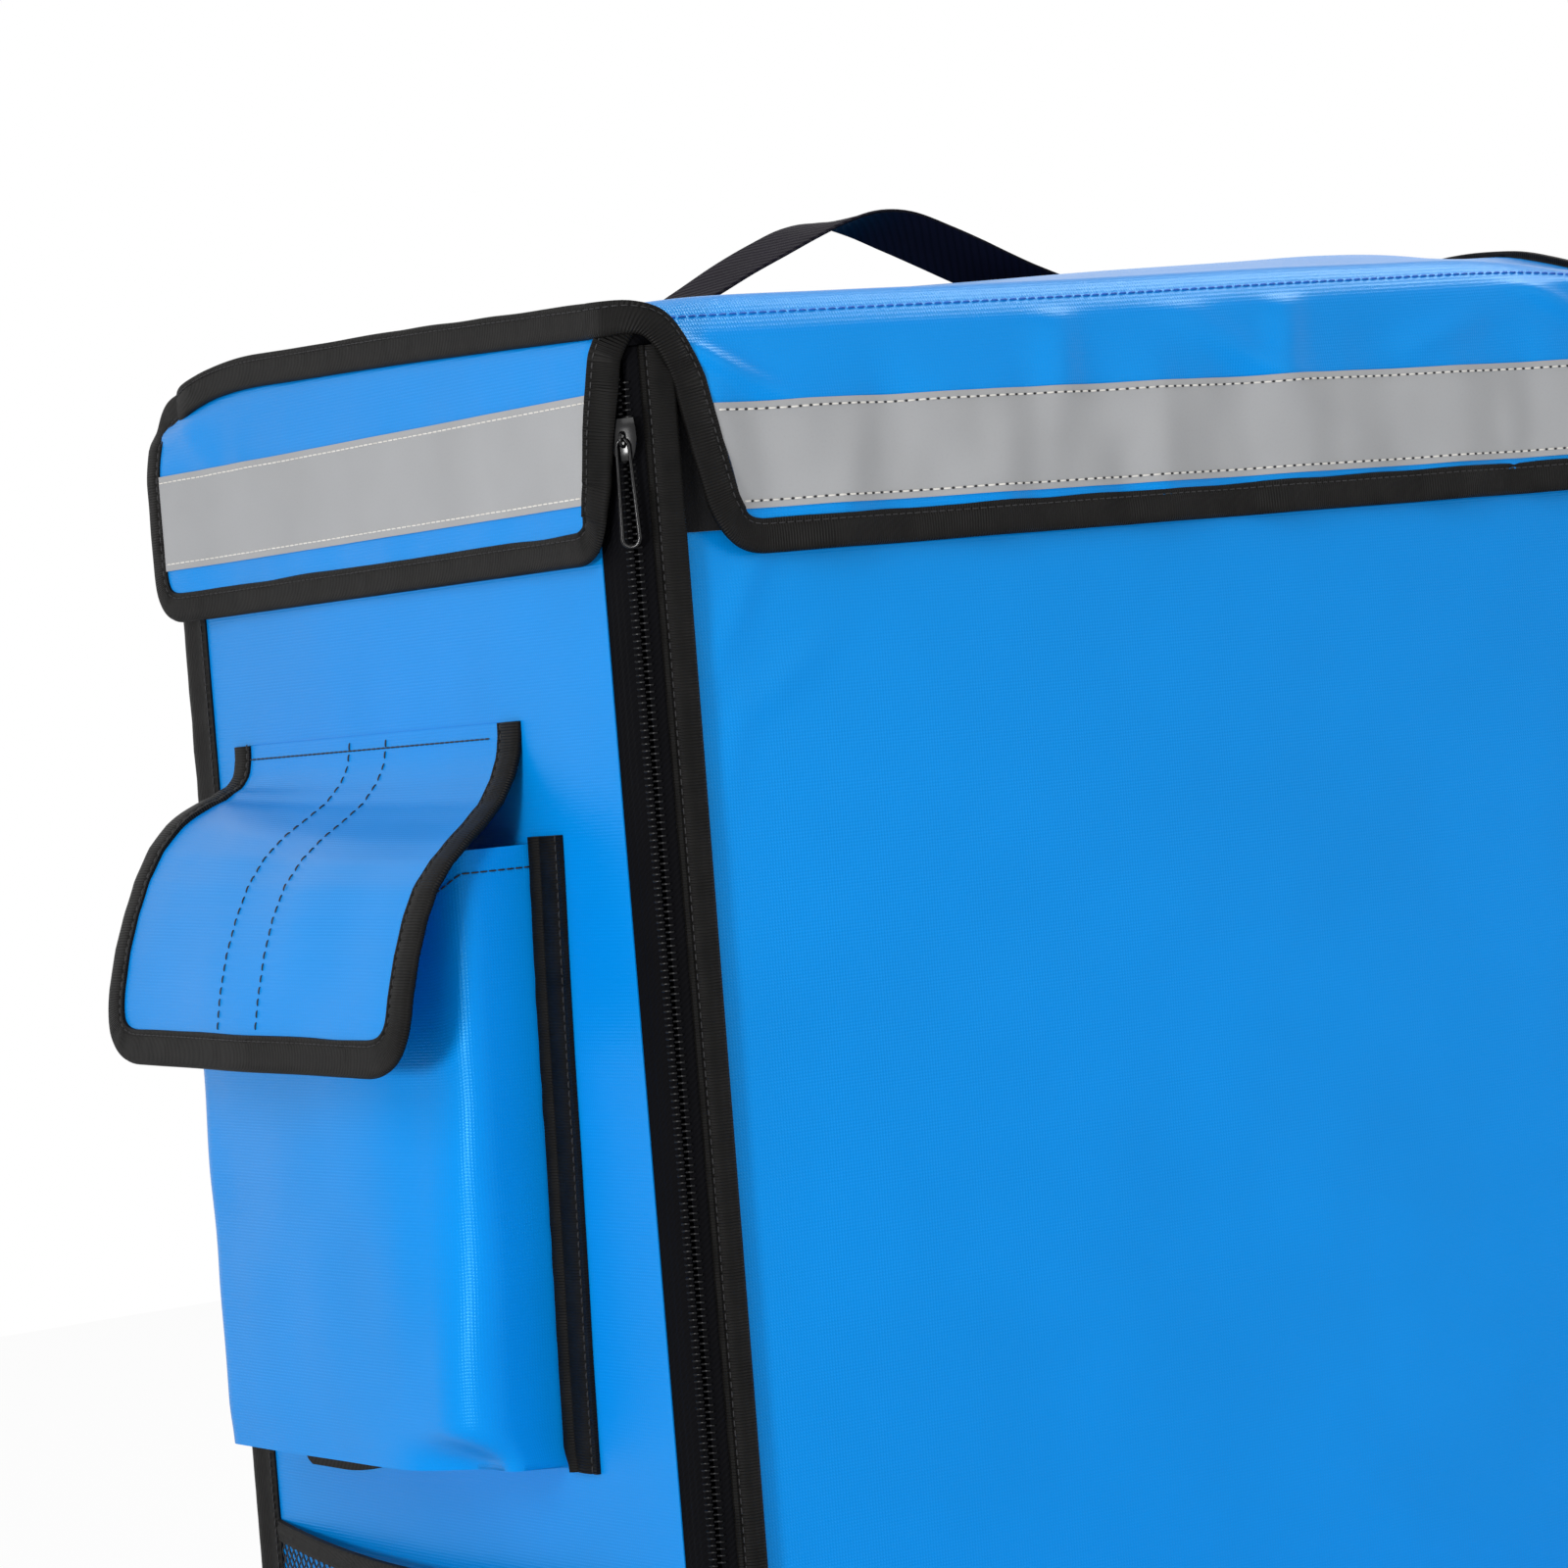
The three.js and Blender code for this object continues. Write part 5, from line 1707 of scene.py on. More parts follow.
@dataclass
class PhonePocket:
    """The flapped pocket on the left wall, with its wall bindings and its curved flap."""

    thick: float = 1.5
    bind_wide: float = 20.5
    bind_thick: float = 1.9
    foot: float = 140.5
    head: float = 371.0
    slant: float = 10.0
    foot_front: float = 28.0
    foot_back: float = 126.0
    foot_high: float = 137.5

    def build(self) -> None:
        """Builds and dresses the pocket."""
        skin = PocketSkin(line=PocketSkin.plan())
        last = len(skin.line) - 1.01
        run = seam(skin, [(a, 8.2) for a in spaced(1, last, 2)], 1, ON_CLOTH)
        hem = stitched(run, thread=Thread(3.4, 2.9, 0.3)).dress(
            "pocket_hem_thread", Finishes.black_thread, SHELL, "blue_cloth")
        downs = spaced(0, 200, 4) + spaced(203, skin.drop, 2.5)
        downs += spaced(skin.drop + 1, skin.drop + 38, 6)
        Sheet("pocket_cloth", skin, grid(spaced(0.01, last, 2.0), downs), self.thick).dress(
            Finishes.cloth, SHELL, "blue_cloth", "phone_pocket", held="gathered",
            rests_on="left_wall_cloth", trim=[hem], crease=70)
        self.wall_tape("front", skin.front - 0.3 - self.bind_wide, 1)
        self.wall_tape("back", skin.back + 0.3, -1)
        # A thin dark strip along the wall under the pocket's foot.
        line = [Station(Vector((-HALF_WIDE - 0.9 - side_bow(y, 136, Side.LEFT), y, self.foot_high)),
                        UP, Vector((-1, 0, 0))) for y in spaced(self.foot_front, self.foot_back, 3)]
        swept(line, self.foot_section).dress("pocket_foot_tape", Finishes.binding, SHELL, "black_tape",
                                             crease=TAPE_CREASE)
        PocketFlap().build()

    def foot_section(self, index: int, far: float) -> list[Flat]:
        """The section of the dark strip that shows under the pocket, narrower at its ends."""
        left = self.foot_back - self.foot_front - far
        low = -9.4 * ease(far / 60) ** 0.6 * ease(left / 12) - 0.4
        return [(low, 0.0), (low + 0.2, 0.9), (2.0, 1.1), (2.0, 0.0)]

    def wall_tape(self, end: str, low: float, sign: int) -> None:
        """One binding on the wall along a gusset: a flat folded tape with a roll down it.

        Args:
            end: The gusset's word in the names.
            low: The y of the tape's front edge at its foot.
            sign: 1 where the tape's rolled edge is its back one, and -1 where it is its front one.
        """
        half, thick = self.bind_wide / 2, self.bind_thick
        stations = []
        for height in spaced(self.foot, self.head, 3):
            share = (height - self.foot) / (self.head - self.foot)
            y = low + half - (self.slant * share if sign > 0 else 0.0)
            lean = side_bow(y, height, Side.LEFT)
            stations.append(Station(Vector((-HALF_WIDE - 0.55 - lean, y, height)),
                                    Vector((0, sign, 0)), Vector((-1, 0, 0))))

        def section(index: int, far: float) -> list[Flat]:
            """The tape's section, pinched at its foot."""
            wide = half * (1 - 0.35 * ease(1 - far / 9))
            lumps = 0.3 * soft_noise(far, 0, 8, 11.0 + sign)
            return [(-half, 0.1), (-half + 0.3, thick * 0.8), (-half + 2.2, thick * 0.9 + lumps),
                    (-half + 3.1, thick * 0.62), (-half + 4.1, thick + lumps),
                    (-half * 0.2, thick * 1.15 + lumps), (wide * 0.28, thick),
                    (wide * 0.4, thick * 0.75), (wide * 0.55, thick * 1.5 + lumps),
                    (wide * 0.8, thick * 1.9 + lumps), (wide * 0.98, thick * 1.2), (wide, 0.1)]

        swept(stations, section).dress(f"pocket_wall_tape_{end}", Finishes.binding, SHELL, "black_tape",
                                       f"pocket_binding_{end}", crease=TAPE_CREASE)
        stitched([s.moved(3.1 - half, thick * 0.75) for s in stations]).dress(
            f"pocket_wall_thread_{end}", Finishes.black_thread, SHELL, "black_tape")


@dataclass(frozen=True)
class PocketFlapSkin(Skin):
    """The pocket's flap, as (y, distance down its S-shaped fall)."""

    hinge: float = 406.5
    line: tuple[Flat, ...] = ()

    @staticmethod
    def fall() -> tuple[Flat, ...]:
        """The S in side view, as (out, drop) a millimetre apart."""
        knots = [(0.0, 9.0), (0.2, 2.0), (1.4, -5.0), (5.0, -12.0), (11.5, -19.5), (20.5, -25.2),
                 (30.0, -30.2), (39.0, -36.5), (46.3, -45.0), (51.8, -56.0), (56.2, -69.0),
                 (59.6, -84.0), (62.2, -101.0), (64.0, -117.6)]
        return tuple(resampled(knots, 1.0))

    def place(self, across: float, down: float) -> Vector:
        """The point at a y and a distance down the fall."""
        out, drop = point_on(self.line, down + 9.0)
        hang = ease(down / 60)
        share = (across - 21.0) / 107
        out += hang * (1.6 * (1 - share * share) - 1.2 + 1.4 * soft_noise(across, down, 46, 8.8))
        lean = side_bow(across, self.hinge + drop, Side.LEFT) * (1 - hang * 0.4)
        sag = 4.5 * hang * clamp(0.5 - share / 2)
        lift = 9.0 * ease(down / 20) * math.exp(-((down - 38) / 26) ** 2) * clamp(0.5 + share / 2) ** 2
        return Vector((-HALF_WIDE - 1.4 - lean - out, across + share * 8.5 * hang,
                       self.hinge + drop - sag + lift))


@dataclass
class PocketFlap:
    """The pocket's flap: S-shaped cloth, a binding on three edges, two rows of stitches."""

    front: float = -88.0
    back: float = 130.0
    top: float = -6.5
    long: float = 136.0
    corner: float = 26.0
    rows_of_stitches: tuple[float, float] = (7.5, 35.0)
    row_slant: float = 7.0

    def build(self) -> None:
        """Builds and dresses the flap."""
        skin = PocketFlapSkin(line=PocketFlapSkin.fall())
        mount = Mount("shell", "pocket_cover", (-HALF_WIDE, 0, 412.0), (-HALF_WIDE, 0, 401.0))
        path = rounded([(self.front, self.top), (self.front, self.long), (self.back, self.long),
                        (self.back, self.top)], [self.corner, self.corner], 2.5)
        binding = Binding(wide=13.6, half_thick=1.8, seed=40.0)
        stations = smoothed(seam(skin, path, -1, SUNK), 2, False)
        rim = swept(stations, binding.profile).dress(
            "pocket_flap_edge_binding", Finishes.binding, mount, "black_tape", "pocket_flap_binding",
            crease=TAPE_CREASE)
        threads = stitched(binding.thread(stations))
        line = [(y, -1.0) for y in spaced(self.front + 20, self.back - 12, 3)]
        Thread(3.6, 3.0, 0.3).add(threads, seam(skin, line, 1, ON_CLOTH))
        for y in self.rows_of_stitches:
            line = [(y + self.row_slant * d / self.long, d) for d in spaced(-5, self.long - 13, 2)]
            Thread(4.4, 2.9, 0.28).add(threads, seam(skin, line, 1, ON_CLOTH))
        sewn = threads.dress("pocket_flap_thread", Finishes.black_thread, mount, "black_tape")
        Sheet("pocket_flap_cloth", skin, self.rows(), 1.3).dress(
            Finishes.cloth, mount, "blue_cloth", "pocket_flap", held="hung",
            rests_on="left_wall_cloth", trim=[rim, sewn], crease=TAPE_CREASE)

    def rows(self) -> list[list[Flat]]:
        """The flap's cut inside its binding, with two rounded corners."""
        low = self.long - TRIM
        downs = spaced(self.top, low - self.corner, 2.5)
        downs += [low - self.corner * s for s in (0.8, 0.6, 0.44, 0.3, 0.18, 0.09, 0.03, 0.0)]
        rows = []
        for down in downs:
            into = clamp((down - low + self.corner) / self.corner)
            inset = TRIM + self.corner * (1 - math.sqrt(max(0.0, 1 - into * into)))
            rows.append([(y, down) for y in shared(self.front + inset, self.back - inset, 72)])
        return rows


@dataclass(frozen=True)
class BulgeSkin(Skin):
    """A net pocket's face, as (distance along its bulge, height)."""

    side: Side
    front: float = -145.2
    back: float = 148.2
    deep: float = 15.4

    def place(self, across: float, down: float) -> Vector:
        """The point at a y and a height."""
        share = clamp((across - self.front) / (self.back - self.front)) * 2 - 1
        full = ease((down - 4) / 34) * mix(0.5, 1.0, math.sin(math.pi * clamp(down / 118)))
        sag = -6.0 * (1 - share * share) * ease((down - 60) / 40)
        out = (1 - share * share) * self.deep * full
        lean = side_bow(across, down, self.side)
        return Vector(((HALF_WIDE + 0.9 + lean + out) * self.side.value, across, down + sag))


@dataclass
class NetPockets:
    """The elastic net pockets at the foot of both sides."""

    foot: float = 6.0
    top: float = 103.0
    hem: float = 9.0
    cell: float = 5.6
    strand: float = 0.75

    def build(self) -> None:
        """Builds and dresses both pockets."""
        for side in Side:
            skin = BulgeSkin(side)
            net = self.net(skin)
            line = [(y, self.top - self.hem / 2) for y in spaced(skin.front, skin.back, 3)]
            hem = swept(seam(skin, line, 1, 0.1), self.hem_profile).dress(
                f"{side.label}_net_hem", Finishes.binding, SHELL, "black_tape",
                f"{side.label}_mesh_hem", crease=TAPE_CREASE)

    def hem_profile(self, index: int, far: float) -> list[Flat]:
        """The elastic hem's section, gathered along its length."""
        lumps = 0.35 * soft_noise(far, 0, 4.5, 5.0)
        half = self.hem / 2
        return [(-half, 0), (-half + 0.6, 1.3 + lumps), (-half + 2, 1.0), (0, 1.7 + lumps),
                (half - 2, 1.0), (half - 0.6, 1.3 + lumps), (half, 0), (half - 0.8, -0.9), (0, -0.9),
                (-half + 0.8, -0.9)]

    def net(self, skin: BulgeSkin) -> Object:
        """The netting: diamond cells whose edges are given thickness."""
        half = self.cell / 2
        high = self.top - self.hem / 2
        cols = int((skin.back - skin.front) / half)
        rows = int((high - self.foot) / half)
        shape = Shape()
        index = {}
        for r in range(rows + 1):
            for c in range(r % 2, cols + 1, 2):
                flat = (mix(skin.front, skin.back, c / cols), mix(self.foot, high, r / rows))
                index[r, c] = len(shape.points)
                shape.add([skin.place(*flat)], [], [flat])
        for r in range(rows + 1):
            for c in range((r + 1) % 2, cols + 1, 2):
                loop = [k for k in ((r, c - 1), (r - 1, c), (r, c + 1), (r + 1, c)) if k in index]
                if len(loop) >= 3:
                    shape.faces.append(tuple(index[k] for k in loop))
        thing = shape.make(f"{skin.side.label}_net", Finishes.net)
        bpy.ops.object.select_all(action="DESELECT")
        bpy.context.view_layer.objects.active = thing
        wire = thing.modifiers.new("Strands", "WIREFRAME")
        wire.thickness, wire.use_even_offset, wire.use_boundary = self.strand * MM, False, True
        bpy.ops.object.modifier_apply(modifier=wire.name)
        return SHELL.put(thing, "netting", f"{skin.side.label}_mesh_pocket")


@dataclass
class Insulation:
    """Foam boards, their foil linings and the black tapes on the rims between them."""

    rim: float = 538.0
    foam_thick: float = 8.0
    foam_round: float = 1.6
    outer_half: float = 246.5
    outer_deep: float = 170.0
    side_front: float = -159.9
    back_half: float = 238.2
    front_half: float = 236.0
    lid_back: float = 341.5
    lid_corner: float = 27.0
    edge: float = 242.4
    lining_half: float = 236.4
    lid_lining_deep: float = 158.0

    def build(self) -> None:
        """Builds and dresses every board, lining and rim tape."""
        half, deep, thick = self.outer_half, self.outer_deep, self.foam_thick
        for wall, mount, x, y in (
                ("back", SHELL, (-self.back_half, self.back_half), (deep - thick, deep)),
                ("left", SHELL, (-half, thick - half), (self.side_front, deep)),
                ("right", SHELL, (half - thick, half), (self.side_front, deep)),
                ("front", DOOR, (-self.front_half, self.front_half), (-deep, thick - deep))):
            low, high = Vector((x[0], y[0], WALL_FOOT)), Vector((x[1], y[1], self.rim - 0.4))
            board = moulded(new_cube(high - low, (low + high) / 2), self.foam_round, 2)
            self.foam(board, wall, mount)
        self.foam(self.lid_board(), "lid", LID)
        self.foam(self.base_board(), "base", SHELL)
        for wall, level, mount in (("base", 10.6, SHELL), ("back", 160.9, SHELL),
                                   ("left", -237.4, SHELL), ("right", 237.4, SHELL),
                                   ("front", -160.9, DOOR), ("lid", 539.6, LID)):
            Sheet(f"{wall}_foil_lining", LiningSkin(wall, level), self.lining(wall), 0.6).dress(
                Finishes.foil, mount, "foil", f"{wall}_liner", held="stretched",
                rests_on=f"{wall}_foam_board", crease=80)
        self.rims()

    @staticmethod
    def foam(board: Shape, wall: str, mount: Mount) -> None:
        """Dresses one wall's board."""
        board.dress(f"{wall}_foam_board", Finishes.foam, mount, "foam_board", f"{wall}_foam", crease=30)

    def base_board(self) -> Shape:
        """The base's board, with corners rounded to sit in its tray."""
        outline = round_box(246, -169.6, 169.6, [FRONT_RADIUS] * 4, 8)
        across, out = Vector((1, 0, 0)), Vector((0, 1, 0))
        stations = [Station(Vector((0, 0, height)), across, out) for height in (1.5, 2.1, 8.9, 9.5)]
        shares = (0.997, 1, 1, 0.997)
        return swept(stations, lambda i, far: [(x * shares[i], y * shares[i]) for x, y in outline])

    def lid_board(self) -> Shape:
        """The lid's board, crowned like the cloth over it, with rounded corners."""
        skin = LidSkin()
        behinds = [7.5, 9, 12, 16] + spaced(22, 306, 12) + spaced(312, self.lid_back, 3)
        shape = Shape()
        for top in (True, False):
            for behind in behinds:
                past = clamp((behind - self.lid_back) / self.lid_corner + 1)
                half = self.outer_half - self.lid_corner * (1 - math.sqrt(1 - past * past))
                for k in range(41):
                    x = half * (k / 20 - 1)
                    high = skin.rise(x, behind) - 2.0 if top else 540.6
                    shape.points.append(Vector((x, LID_FRONT + behind, high)))
                    shape.flats.append((x, behind))
        shape.faces += layer_faces(len(behinds), 41)
        return shape

    def lining(self, wall: str) -> list[list[Flat]]:
        """A lining's cut, from its CAD node's lowest and highest corners."""
        low, high = (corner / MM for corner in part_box(f"{wall}_liner"))
        heights = spaced(low.z, self.rim - 1, 12)
        if wall in ("left", "right"):
            return grid(spaced(low.y + 0.5, high.y - 0.5, 12), heights)
        if wall in ("front", "back"):
            half = self.lining_half + 0.2 if wall == "back" else self.lining_half - 7.4
            return grid(spaced(-half, half, 12), heights)
        front, back = low.y + 1, high.y - 1
        if wall == "lid":
            front, back = -self.lid_lining_deep, self.lid_lining_deep
        return grid(spaced(-self.lining_half, self.lining_half, 12), spaced(front, back, 12))

    def rims(self) -> None:
        """Folded tapes over the boards' rims: shell, lid, the walls' front edges and front."""
        capped = [(-4.2, -7), (-4.2, 0.2), (-3.6, 0.8), (0, 0.95), (4.4, 0.85), (5.3, 0.2), (5.3, -12),
                  (4.7, -12), (4.6, -0.4), (-3.6, -0.5), (-3.7, -7)]
        lip = [(-0.5, -8), (-0.5, -0.3), (0, 0.15), (9.5, 0.2), (9.5, -0.25), (0.3, -0.3), (0, -8)]
        narrow = [(-4.3, -7), (-4.3, 0.2), (-3.7, 0.75), (0, 0.8), (3.6, 0.7), (4.0, 0.2), (3.9, -0.4),
                  (-3.7, -0.5), (-3.8, -7)]
        path = rounded([(-242.3, -159), (-242.3, 166), (242.3, 166), (242.3, -159)], [4, 4], 6)
        self.tape("shell_rim_tape", seam(LiningSkin("base", self.rim, 0.0), path, -1), capped, SHELL)
        path = round_box(247.6, -171, 165.4, [8, self.lid_corner, self.lid_corner, 8], 5)
        self.tape("lid_rim_tape", seam(LiningSkin("lid", 539.65, 0.0), path, 1), lip, LID, True)
        foot = WALL_FOOT + 0.6
        ahead = Vector((0, -1, 0))
        for side in Side:
            across = Vector((side.value, 0, 0))
            stations = [Station(Vector((side.value * self.edge, self.side_front, z)), across, ahead)
                        for z in spaced(foot, self.rim - 1, 24)]
            self.tape(f"{side.label}_front_edge_tape", stations, narrow, SHELL)
        half = self.front_half
        path = rounded([(-half, foot), (-half, self.rim), (half, self.rim), (half, foot)], [4, 4], 6)
        places = [Vector((x, -166, z)) for x, z in path]
        stations = [Station(place, ahead, Vector((-along.z, 0, along.x)))
                    for place, along in zip(places, headings(places))]
        self.tape("front_rim_tape", stations, capped, DOOR)

    @staticmethod
    def tape(name: str, stations: Sequence[Station], section: list[Flat], mount: Mount,
             closed: bool = False) -> None:
        """Dresses one rim with its folded tape."""
        swept(stations, lambda i, far: section, closed).dress(
            name, Finishes.tape, mount, "black_tape", crease=50)


@dataclass(frozen=True)
class LiningSkin(Skin):
    """A wall's inner face, with the slack of film that is fixed at its edges."""

    wall: str
    level: float
    slack: float = 0.2

    @property
    def side(self) -> Side:
        """The side whose way of turning makes its outer face look into the bag."""
        return Side.LEFT if self.wall in ("right", "lid", "front") else Side.RIGHT

    def place(self, across: float, down: float) -> Vector:
        """The point at two distances along the wall."""
        bow = self.slack * soft_noise(across, down, 26, 1.7)
        if self.wall in ("left", "right"):
            return Vector((self.level + bow, across, down))
        if self.wall in ("front", "back"):
            return Vector((across, self.level + bow, down))
        return Vector((across, down, self.level + bow))


@dataclass
class Harness:
    """The back pad, the padded shoulder straps, ladder locks and webbing."""

    pad_half: float = 150.0
    pad_thick: float = 14.0
    pad_low: float = 125.0
    pad_high: float = 470.0
    apart: float = 190.0
    strap_wide: float = 62.0
    strap_thick: float = 12.0
    strap_top: float = 512.0
    lock_back: float = 215.8
    lock_high: float = 213.7
    lock_size: Spot = (36.0, 5.0, 24.0)
    lock_slot: Flat = (2.4, 7.0)
    lock_slot_half: float = 13.5

    def build(self) -> None:
        """Builds and dresses the harness."""
        self.pad()
        for side in Side:
            self.strap(side)
            self.lock(side)
            self.webbing(side)

    def pad(self) -> None:
        """The back pad: a crowned cushion of spacer mesh with sewn channels."""
        cols, rows = 76, 88
        middle = (self.pad_low + self.pad_high) / 2
        half_high = (self.pad_high - self.pad_low) / 2
        shape = Shape()
        for full in (1, 0):
            for v in (2 * r / rows - 1 for r in range(rows + 1)):
                for u in (2 * c / cols - 1 for c in range(cols + 1)):
                    x = self.pad_half * u * math.sqrt(1 - 0.06 * v ** 4)
                    z = middle + half_high * v * math.sqrt(1 - 0.06 * u ** 4)
                    rim = (1 - abs(u) ** 9) * (1 - abs(v) ** 9)
                    channel = min(abs(z - middle - k) for k in (-115, -57, 0, 57, 115))
                    sewn = 1 - 0.55 * math.exp(-(channel / 6) ** 2) - 0.5 * math.exp(-(x / 7) ** 2)
                    deep = self.pad_thick * max(0.12, rim ** 0.4 * max(sewn, 0.3))
                    shape.points.append(Vector((x, HALF_DEEP + 0.3 + deep * full, z)))
                    shape.flats.append((x, z))
        shape.faces += layer_faces(rows + 1, cols + 1)
        thing = shape.dress("back_pad_cushion", Finishes.spacer, SHELL, "air_mesh", "back_pad",
                            crease=TAPE_CREASE)

    def strap_line(self) -> list[Vector]:
        """The strap's middle line in the plane x 0, as it hangs."""
        start, first = Vector((0, 183.8, self.strap_top)), Vector((0, 246.8, self.strap_top))
        second, end = Vector((0, 266.8, 330)), Vector((0, self.lock_back, 236))
        line = [Vector((0, HALF_DEEP + 0.6, self.strap_top)), Vector((0, 178, self.strap_top))]
        for t in (k / 40 for k in range(41)):
            line.append(start * (1 - t) ** 3 + first * (3 * t * (1 - t) ** 2)
                        + second * (3 * t * t * (1 - t)) + end * t ** 3)
        return line + [Vector((0, self.lock_back, z)) for z in (231, 226.3)]

    def stations(self, line: list[Vector], side: Side) -> list[Station]:
        """Stations along a line in the plane x 0, moved to a strap's place."""
        over = Vector((1, 0, 0))
        move = over * (side.value * self.apart / 2)
        return [Station(place + move, over, along.cross(over))
                for place, along in zip(line, headings(line))]

    def strap(self, side: Side) -> None:
        """One padded shoulder strap with bound edges."""
        stations = self.stations(self.strap_line(), side)
        half, deep = self.strap_wide / 2, self.strap_thick / 2
        last = len(stations) - 1

        def narrowing(index: int) -> float:
            """The share of its width that the strap has at a station."""
            return 1 - 0.12 * ease(1 - (last - index) / 8)

        def section(index: int, far: float) -> list[Flat]:
            """A cushion's section, thinner towards both ends and at its edges."""
            taper = ease(min(index, last - index) / 5) * 0.55 + 0.4
            wide = half * narrowing(index)
            ring = []
            for turn in (2 * math.pi * k / 28 for k in range(28)):
                c, s = math.cos(turn), math.sin(turn)
                swell = 1 - 0.38 * math.exp(-((abs(c) - 0.86) / 0.09) ** 2)
                ring.append((wide * abs(c) ** 0.55 * math.copysign(1, c),
                             deep * taper * abs(s) ** 0.8 * math.copysign(1, s) * swell))
            return ring

        thing = swept(stations, section).dress(
            f"{side.label}_shoulder_pad", Finishes.spacer, SHELL, "air_mesh",
            f"{side.label}_shoulder_strap", crease=TAPE_CREASE)
        rims = Shape()
        for edge in (-1, 1):
            run = [Station(s.place + s.across * (edge * (half + 0.4) * narrowing(i)), s.across * -edge,
                           s.out) for i, s in enumerate(stations)]
            sweep(rims, run[1:], Binding(wide=8.0, half_thick=1.9, seed=60.0 + edge).profile)
        rims.dress(f"{side.label}_shoulder_binding", Finishes.binding, SHELL, "black_tape",
                   crease=TAPE_CREASE)

    def lock(self, side: Side) -> None:
        """A ladder lock: a moulded frame with two slots and a ribbed middle bar."""
        near, far = self.lock_slot
        half = self.lock_slot_half
        cuts = [((0, 0, z), (0, 0, 1)) for z in (-far, -near, near, far)]
        cuts += [((x, 0, 0), (1, 0, 0)) for x in (-half, half)]
        cube = new_cube(self.lock_size)
        bpy.ops.object.mode_set(mode="EDIT")
        bpy.ops.mesh.select_all(action="DESELECT")
        work = bmesh.from_edit_mesh(cube.data)
        for place, way in cuts:
            bmesh.ops.bisect_plane(work, geom=work.verts[:] + work.edges[:] + work.faces[:],
                                   plane_co=place, plane_no=way)
        for face in work.faces:
            middle = face.calc_center_median()
            if abs(face.normal.y) > 0.9 and abs(middle.x) < half and near < abs(middle.z) < far:
                face.select_set(True)
        bmesh.update_edit_mesh(cube.data)
        bpy.ops.mesh.bridge_edge_loops()
        bpy.ops.object.mode_set(mode="OBJECT")
        shape = moulded(cube, 0.8, 2)
        move = Vector((side.value * self.apart / 2, self.lock_back, self.lock_high))
        shape.points = [point + move for point in shape.points]
        shape.dress(f"{side.label}_ladder_buckle", Finishes.acetal, SHELL, "acetal",
                    f"{side.label}_ladder_lock", crease=MOULD_CREASE)

    def webbing(self, side: Side) -> None:
        """The adjusting webbing from the lock down to the bag's foot."""
        back = HALF_DEEP + 1.4
        knots = [(back, 40), (back, 56), (back + 3, 66), (212.6, 172), (self.lock_back, 182),
                 (self.lock_back, 201)]
        line = [Vector((0, y, z)) for y, z in rounded(knots, [8, 8, 8, 8], 4)]
        swept(self.stations(line, side), lambda i, far: flat_strap(12.5, 0.85)).dress(
            f"{side.label}_adjusting_webbing", Finishes.webbing, SHELL, "webbing",
            f"{side.label}_strap_webbing")


# Studio


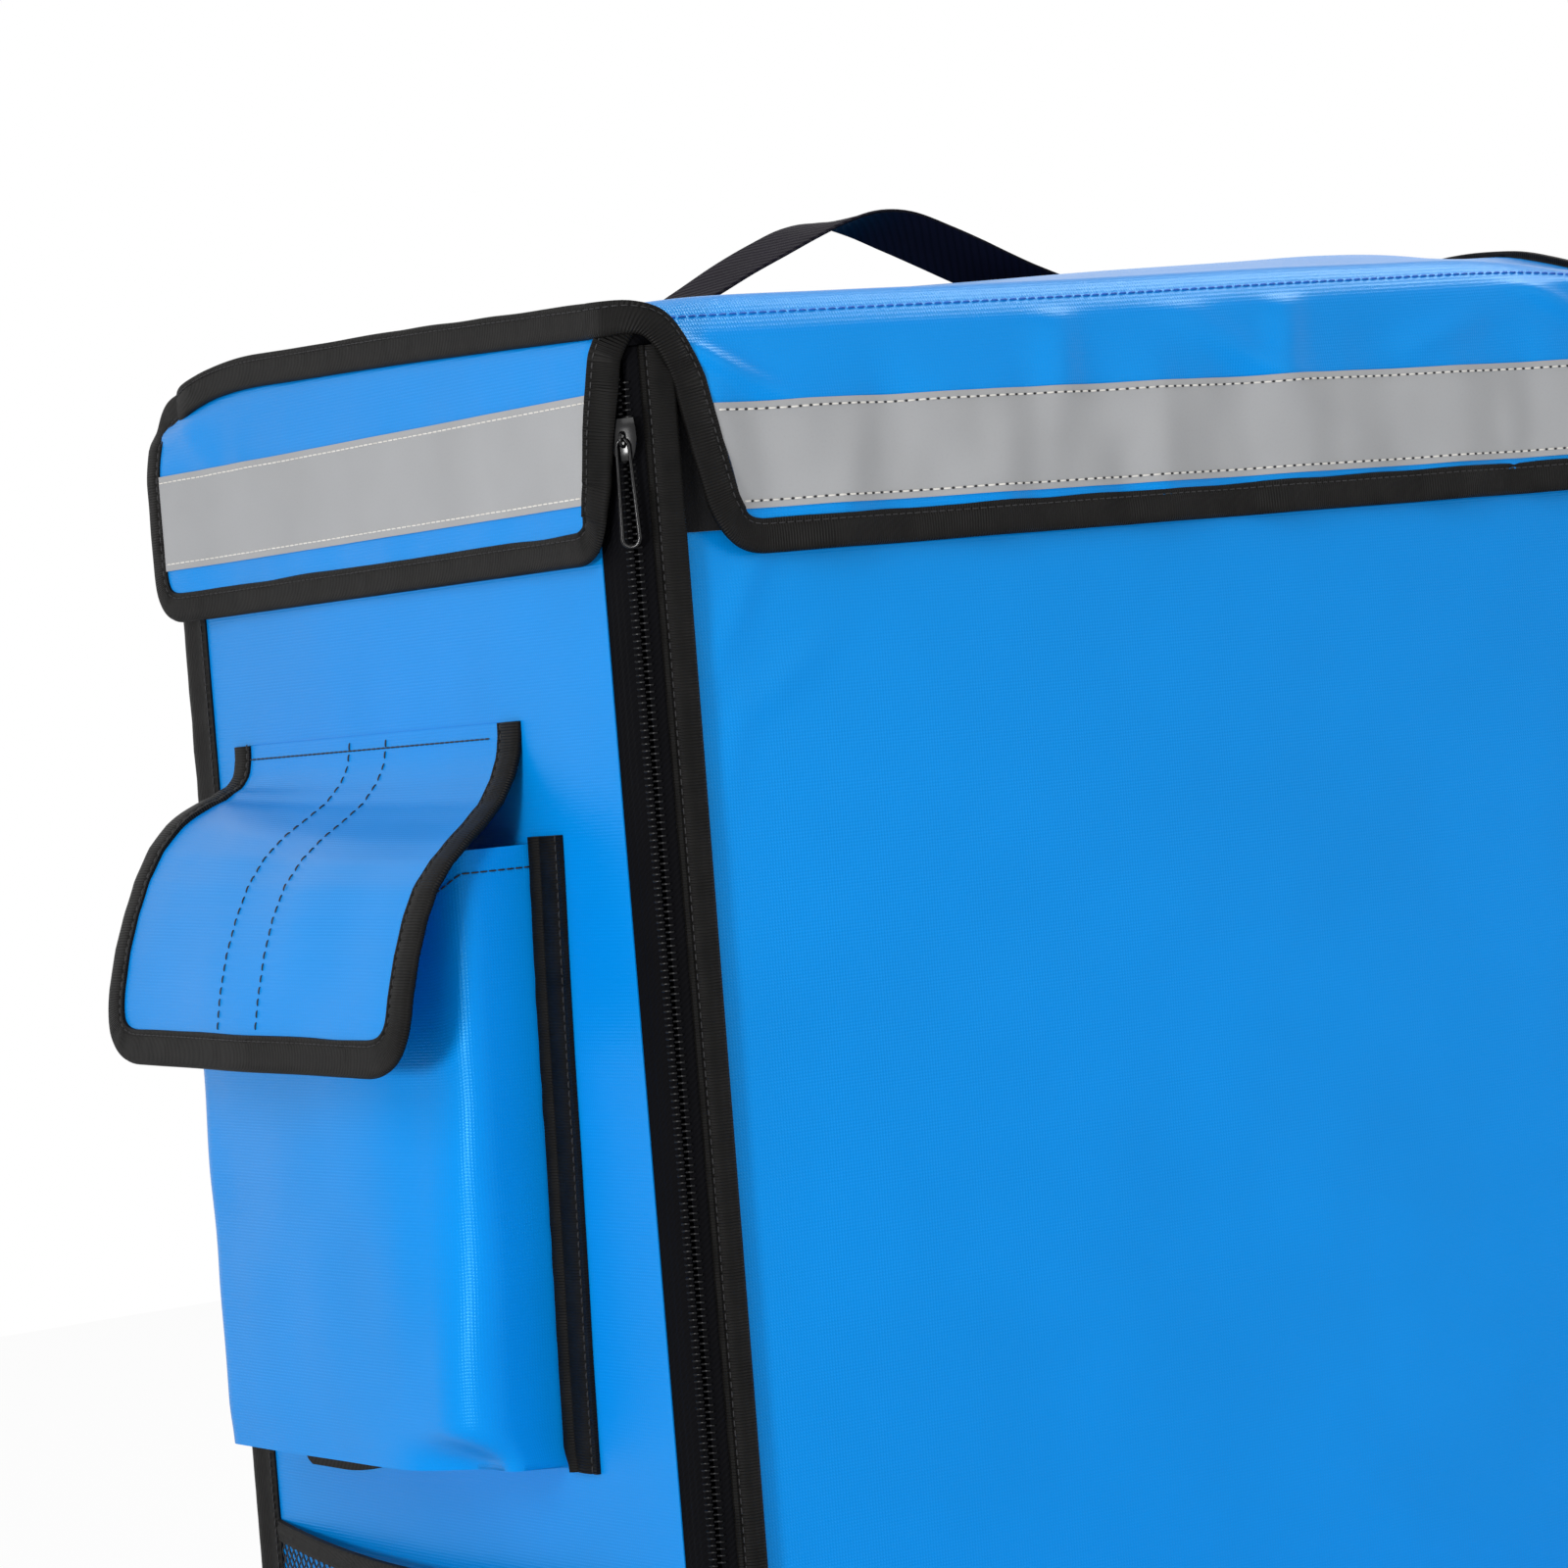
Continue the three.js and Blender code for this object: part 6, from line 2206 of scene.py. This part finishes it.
@dataclass
class Studio:
    """Camera, lamps, world and floor."""

    eye: tuple[float, float, float] = (-1.1751, -1.6011, 0.4124)
    yaw: float = 34.4
    pitch: float = -1.0
    roll: float = -5.3
    lens: float = 112.5
    fill_light: float = 0.42

    def build(self) -> None:
        """Builds the studio."""
        scene = bpy.context.scene
        scene.view_settings.view_transform = "Standard"
        self.camera(scene)
        self.world(scene)
        for lamp in (("key", (-2.3, -1.6, 2.0), 1.5, 23), ("left", (-2.5, -1.2, 0.35), 0.38, 33),
                     ("front", (0.9, -2.9, 1.1), 1.8, 14), ("top", (0.2, 0.3, 2.6), 1.8, 12),
                     ("edge", (1.65, -0.22, 2.5), 0.9, 20)):
            self.lamp(*lamp)
        self.floor()

    def camera(self, scene: Scene) -> None:
        """The camera that was solved from the photograph's perspective."""
        yaw, pitch, roll = (math.radians(v) for v in (self.yaw, self.pitch, self.roll))
        ahead = Vector((math.sin(yaw) * math.cos(pitch), math.cos(yaw) * math.cos(pitch), math.sin(pitch)))
        level = Vector((math.cos(yaw), -math.sin(yaw), 0))
        upright = level.cross(ahead)
        right = level * math.cos(roll) + upright * math.sin(roll)
        above = upright * math.cos(roll) - level * math.sin(roll)
        data = bpy.data.cameras.new("camera")
        data.lens, data.sensor_width = self.lens, 36.0
        data.clip_start, data.clip_end = 0.05, 50.0
        camera = bpy.data.objects.new("camera", data)
        turn = Matrix((right, above, -ahead)).transposed().to_4x4()
        turn.translation = Vector(self.eye)
        camera.matrix_world = turn
        scene.collection.objects.link(camera)
        scene.camera = camera

    def lamp(self, name: str, place: tuple[float, float, float], size: float, power: float) -> None:
        """A square soft box that looks at the bag's middle."""
        data = bpy.data.lights.new(name, "AREA")
        data.size, data.energy = size, power
        lamp = bpy.data.objects.new(name, data)
        lamp.location = place
        aim = Vector((0, 0, 0.3)) - Vector(place)
        lamp.rotation_euler = aim.to_track_quat("-Z", "Y").to_euler()
        bpy.context.scene.collection.objects.link(lamp)

    def world(self, scene: Scene) -> None:
        """White to the camera and in reflections, a dimmer even light on the bag."""
        world = bpy.data.worlds.new("studio")
        scene.world = world
        world.use_nodes = True
        tree = world.node_tree
        tree.nodes.clear()
        path = add_node(tree, "ShaderNodeLightPath")
        seen = add_node(tree, "ShaderNodeMath", {"operation": "MAXIMUM"}, {
            0: path.outputs["Is Camera Ray"], 1: path.outputs["Is Glossy Ray"]})
        seen = add_node(tree, "ShaderNodeMath", {"operation": "MAXIMUM"}, {
            0: seen.outputs[0], 1: path.outputs["Is Transmission Ray"]})
        level = add_node(tree, "ShaderNodeMapRange", {"To Min": self.fill_light, "To Max": 1.0},
                         {"Value": seen.outputs[0]})
        back = add_node(tree, "ShaderNodeBackground", {"Color": (1, 1, 1, 1)},
                        {"Strength": level.outputs["Result"]})
        add_node(tree, "ShaderNodeOutputWorld", None, {"Surface": back.outputs["Background"]})

    def floor(self) -> None:
        """A pale floor that keeps the bag's shadow and is near white to the camera."""
        bpy.ops.object.select_all(action="DESELECT")
        bpy.ops.mesh.primitive_plane_add(size=3.4, location=(0, 0, -0.0005))
        plane = bpy.context.object
        plane.name = "studio_floor"
        paint = bpy.data.materials.new("matt_white_paint")
        paint.use_nodes = True
        tree = paint.node_tree
        tree.nodes.clear()
        path = add_node(tree, "ShaderNodeLightPath")
        half = add_node(tree, "ShaderNodeMath", {"operation": "MULTIPLY", 1: 0.92},
                        {0: path.outputs["Is Camera Ray"]})
        matt = add_node(tree, "ShaderNodeBsdfDiffuse", {"Color": linear("#f2f2f2")})
        glow = add_node(tree, "ShaderNodeEmission", {"Color": (1, 1, 1, 1), "Strength": 1.0})
        both = add_node(tree, "ShaderNodeMixShader", None, {
            0: half.outputs[0], 1: matt.outputs["BSDF"], 2: glow.outputs["Emission"]})
        add_node(tree, "ShaderNodeOutputMaterial", None, {"Surface": both.outputs["Shader"]})
        plane.data.materials.append(paint)


def main() -> None:
    """Builds the studio and every piece of the bag."""
    logging.basicConfig(level=logging.INFO, format="%(message)s")
    Studio().build()
    for part in (Walls(), Zips(), CornerBindings(), Lid(), SideFlaps(), PhonePocket(), NetPockets(),
                 Insulation(), Harness()):
        log.info("building %s", type(part).__name__)
        part.build()


if __name__ == "__main__":
    main()
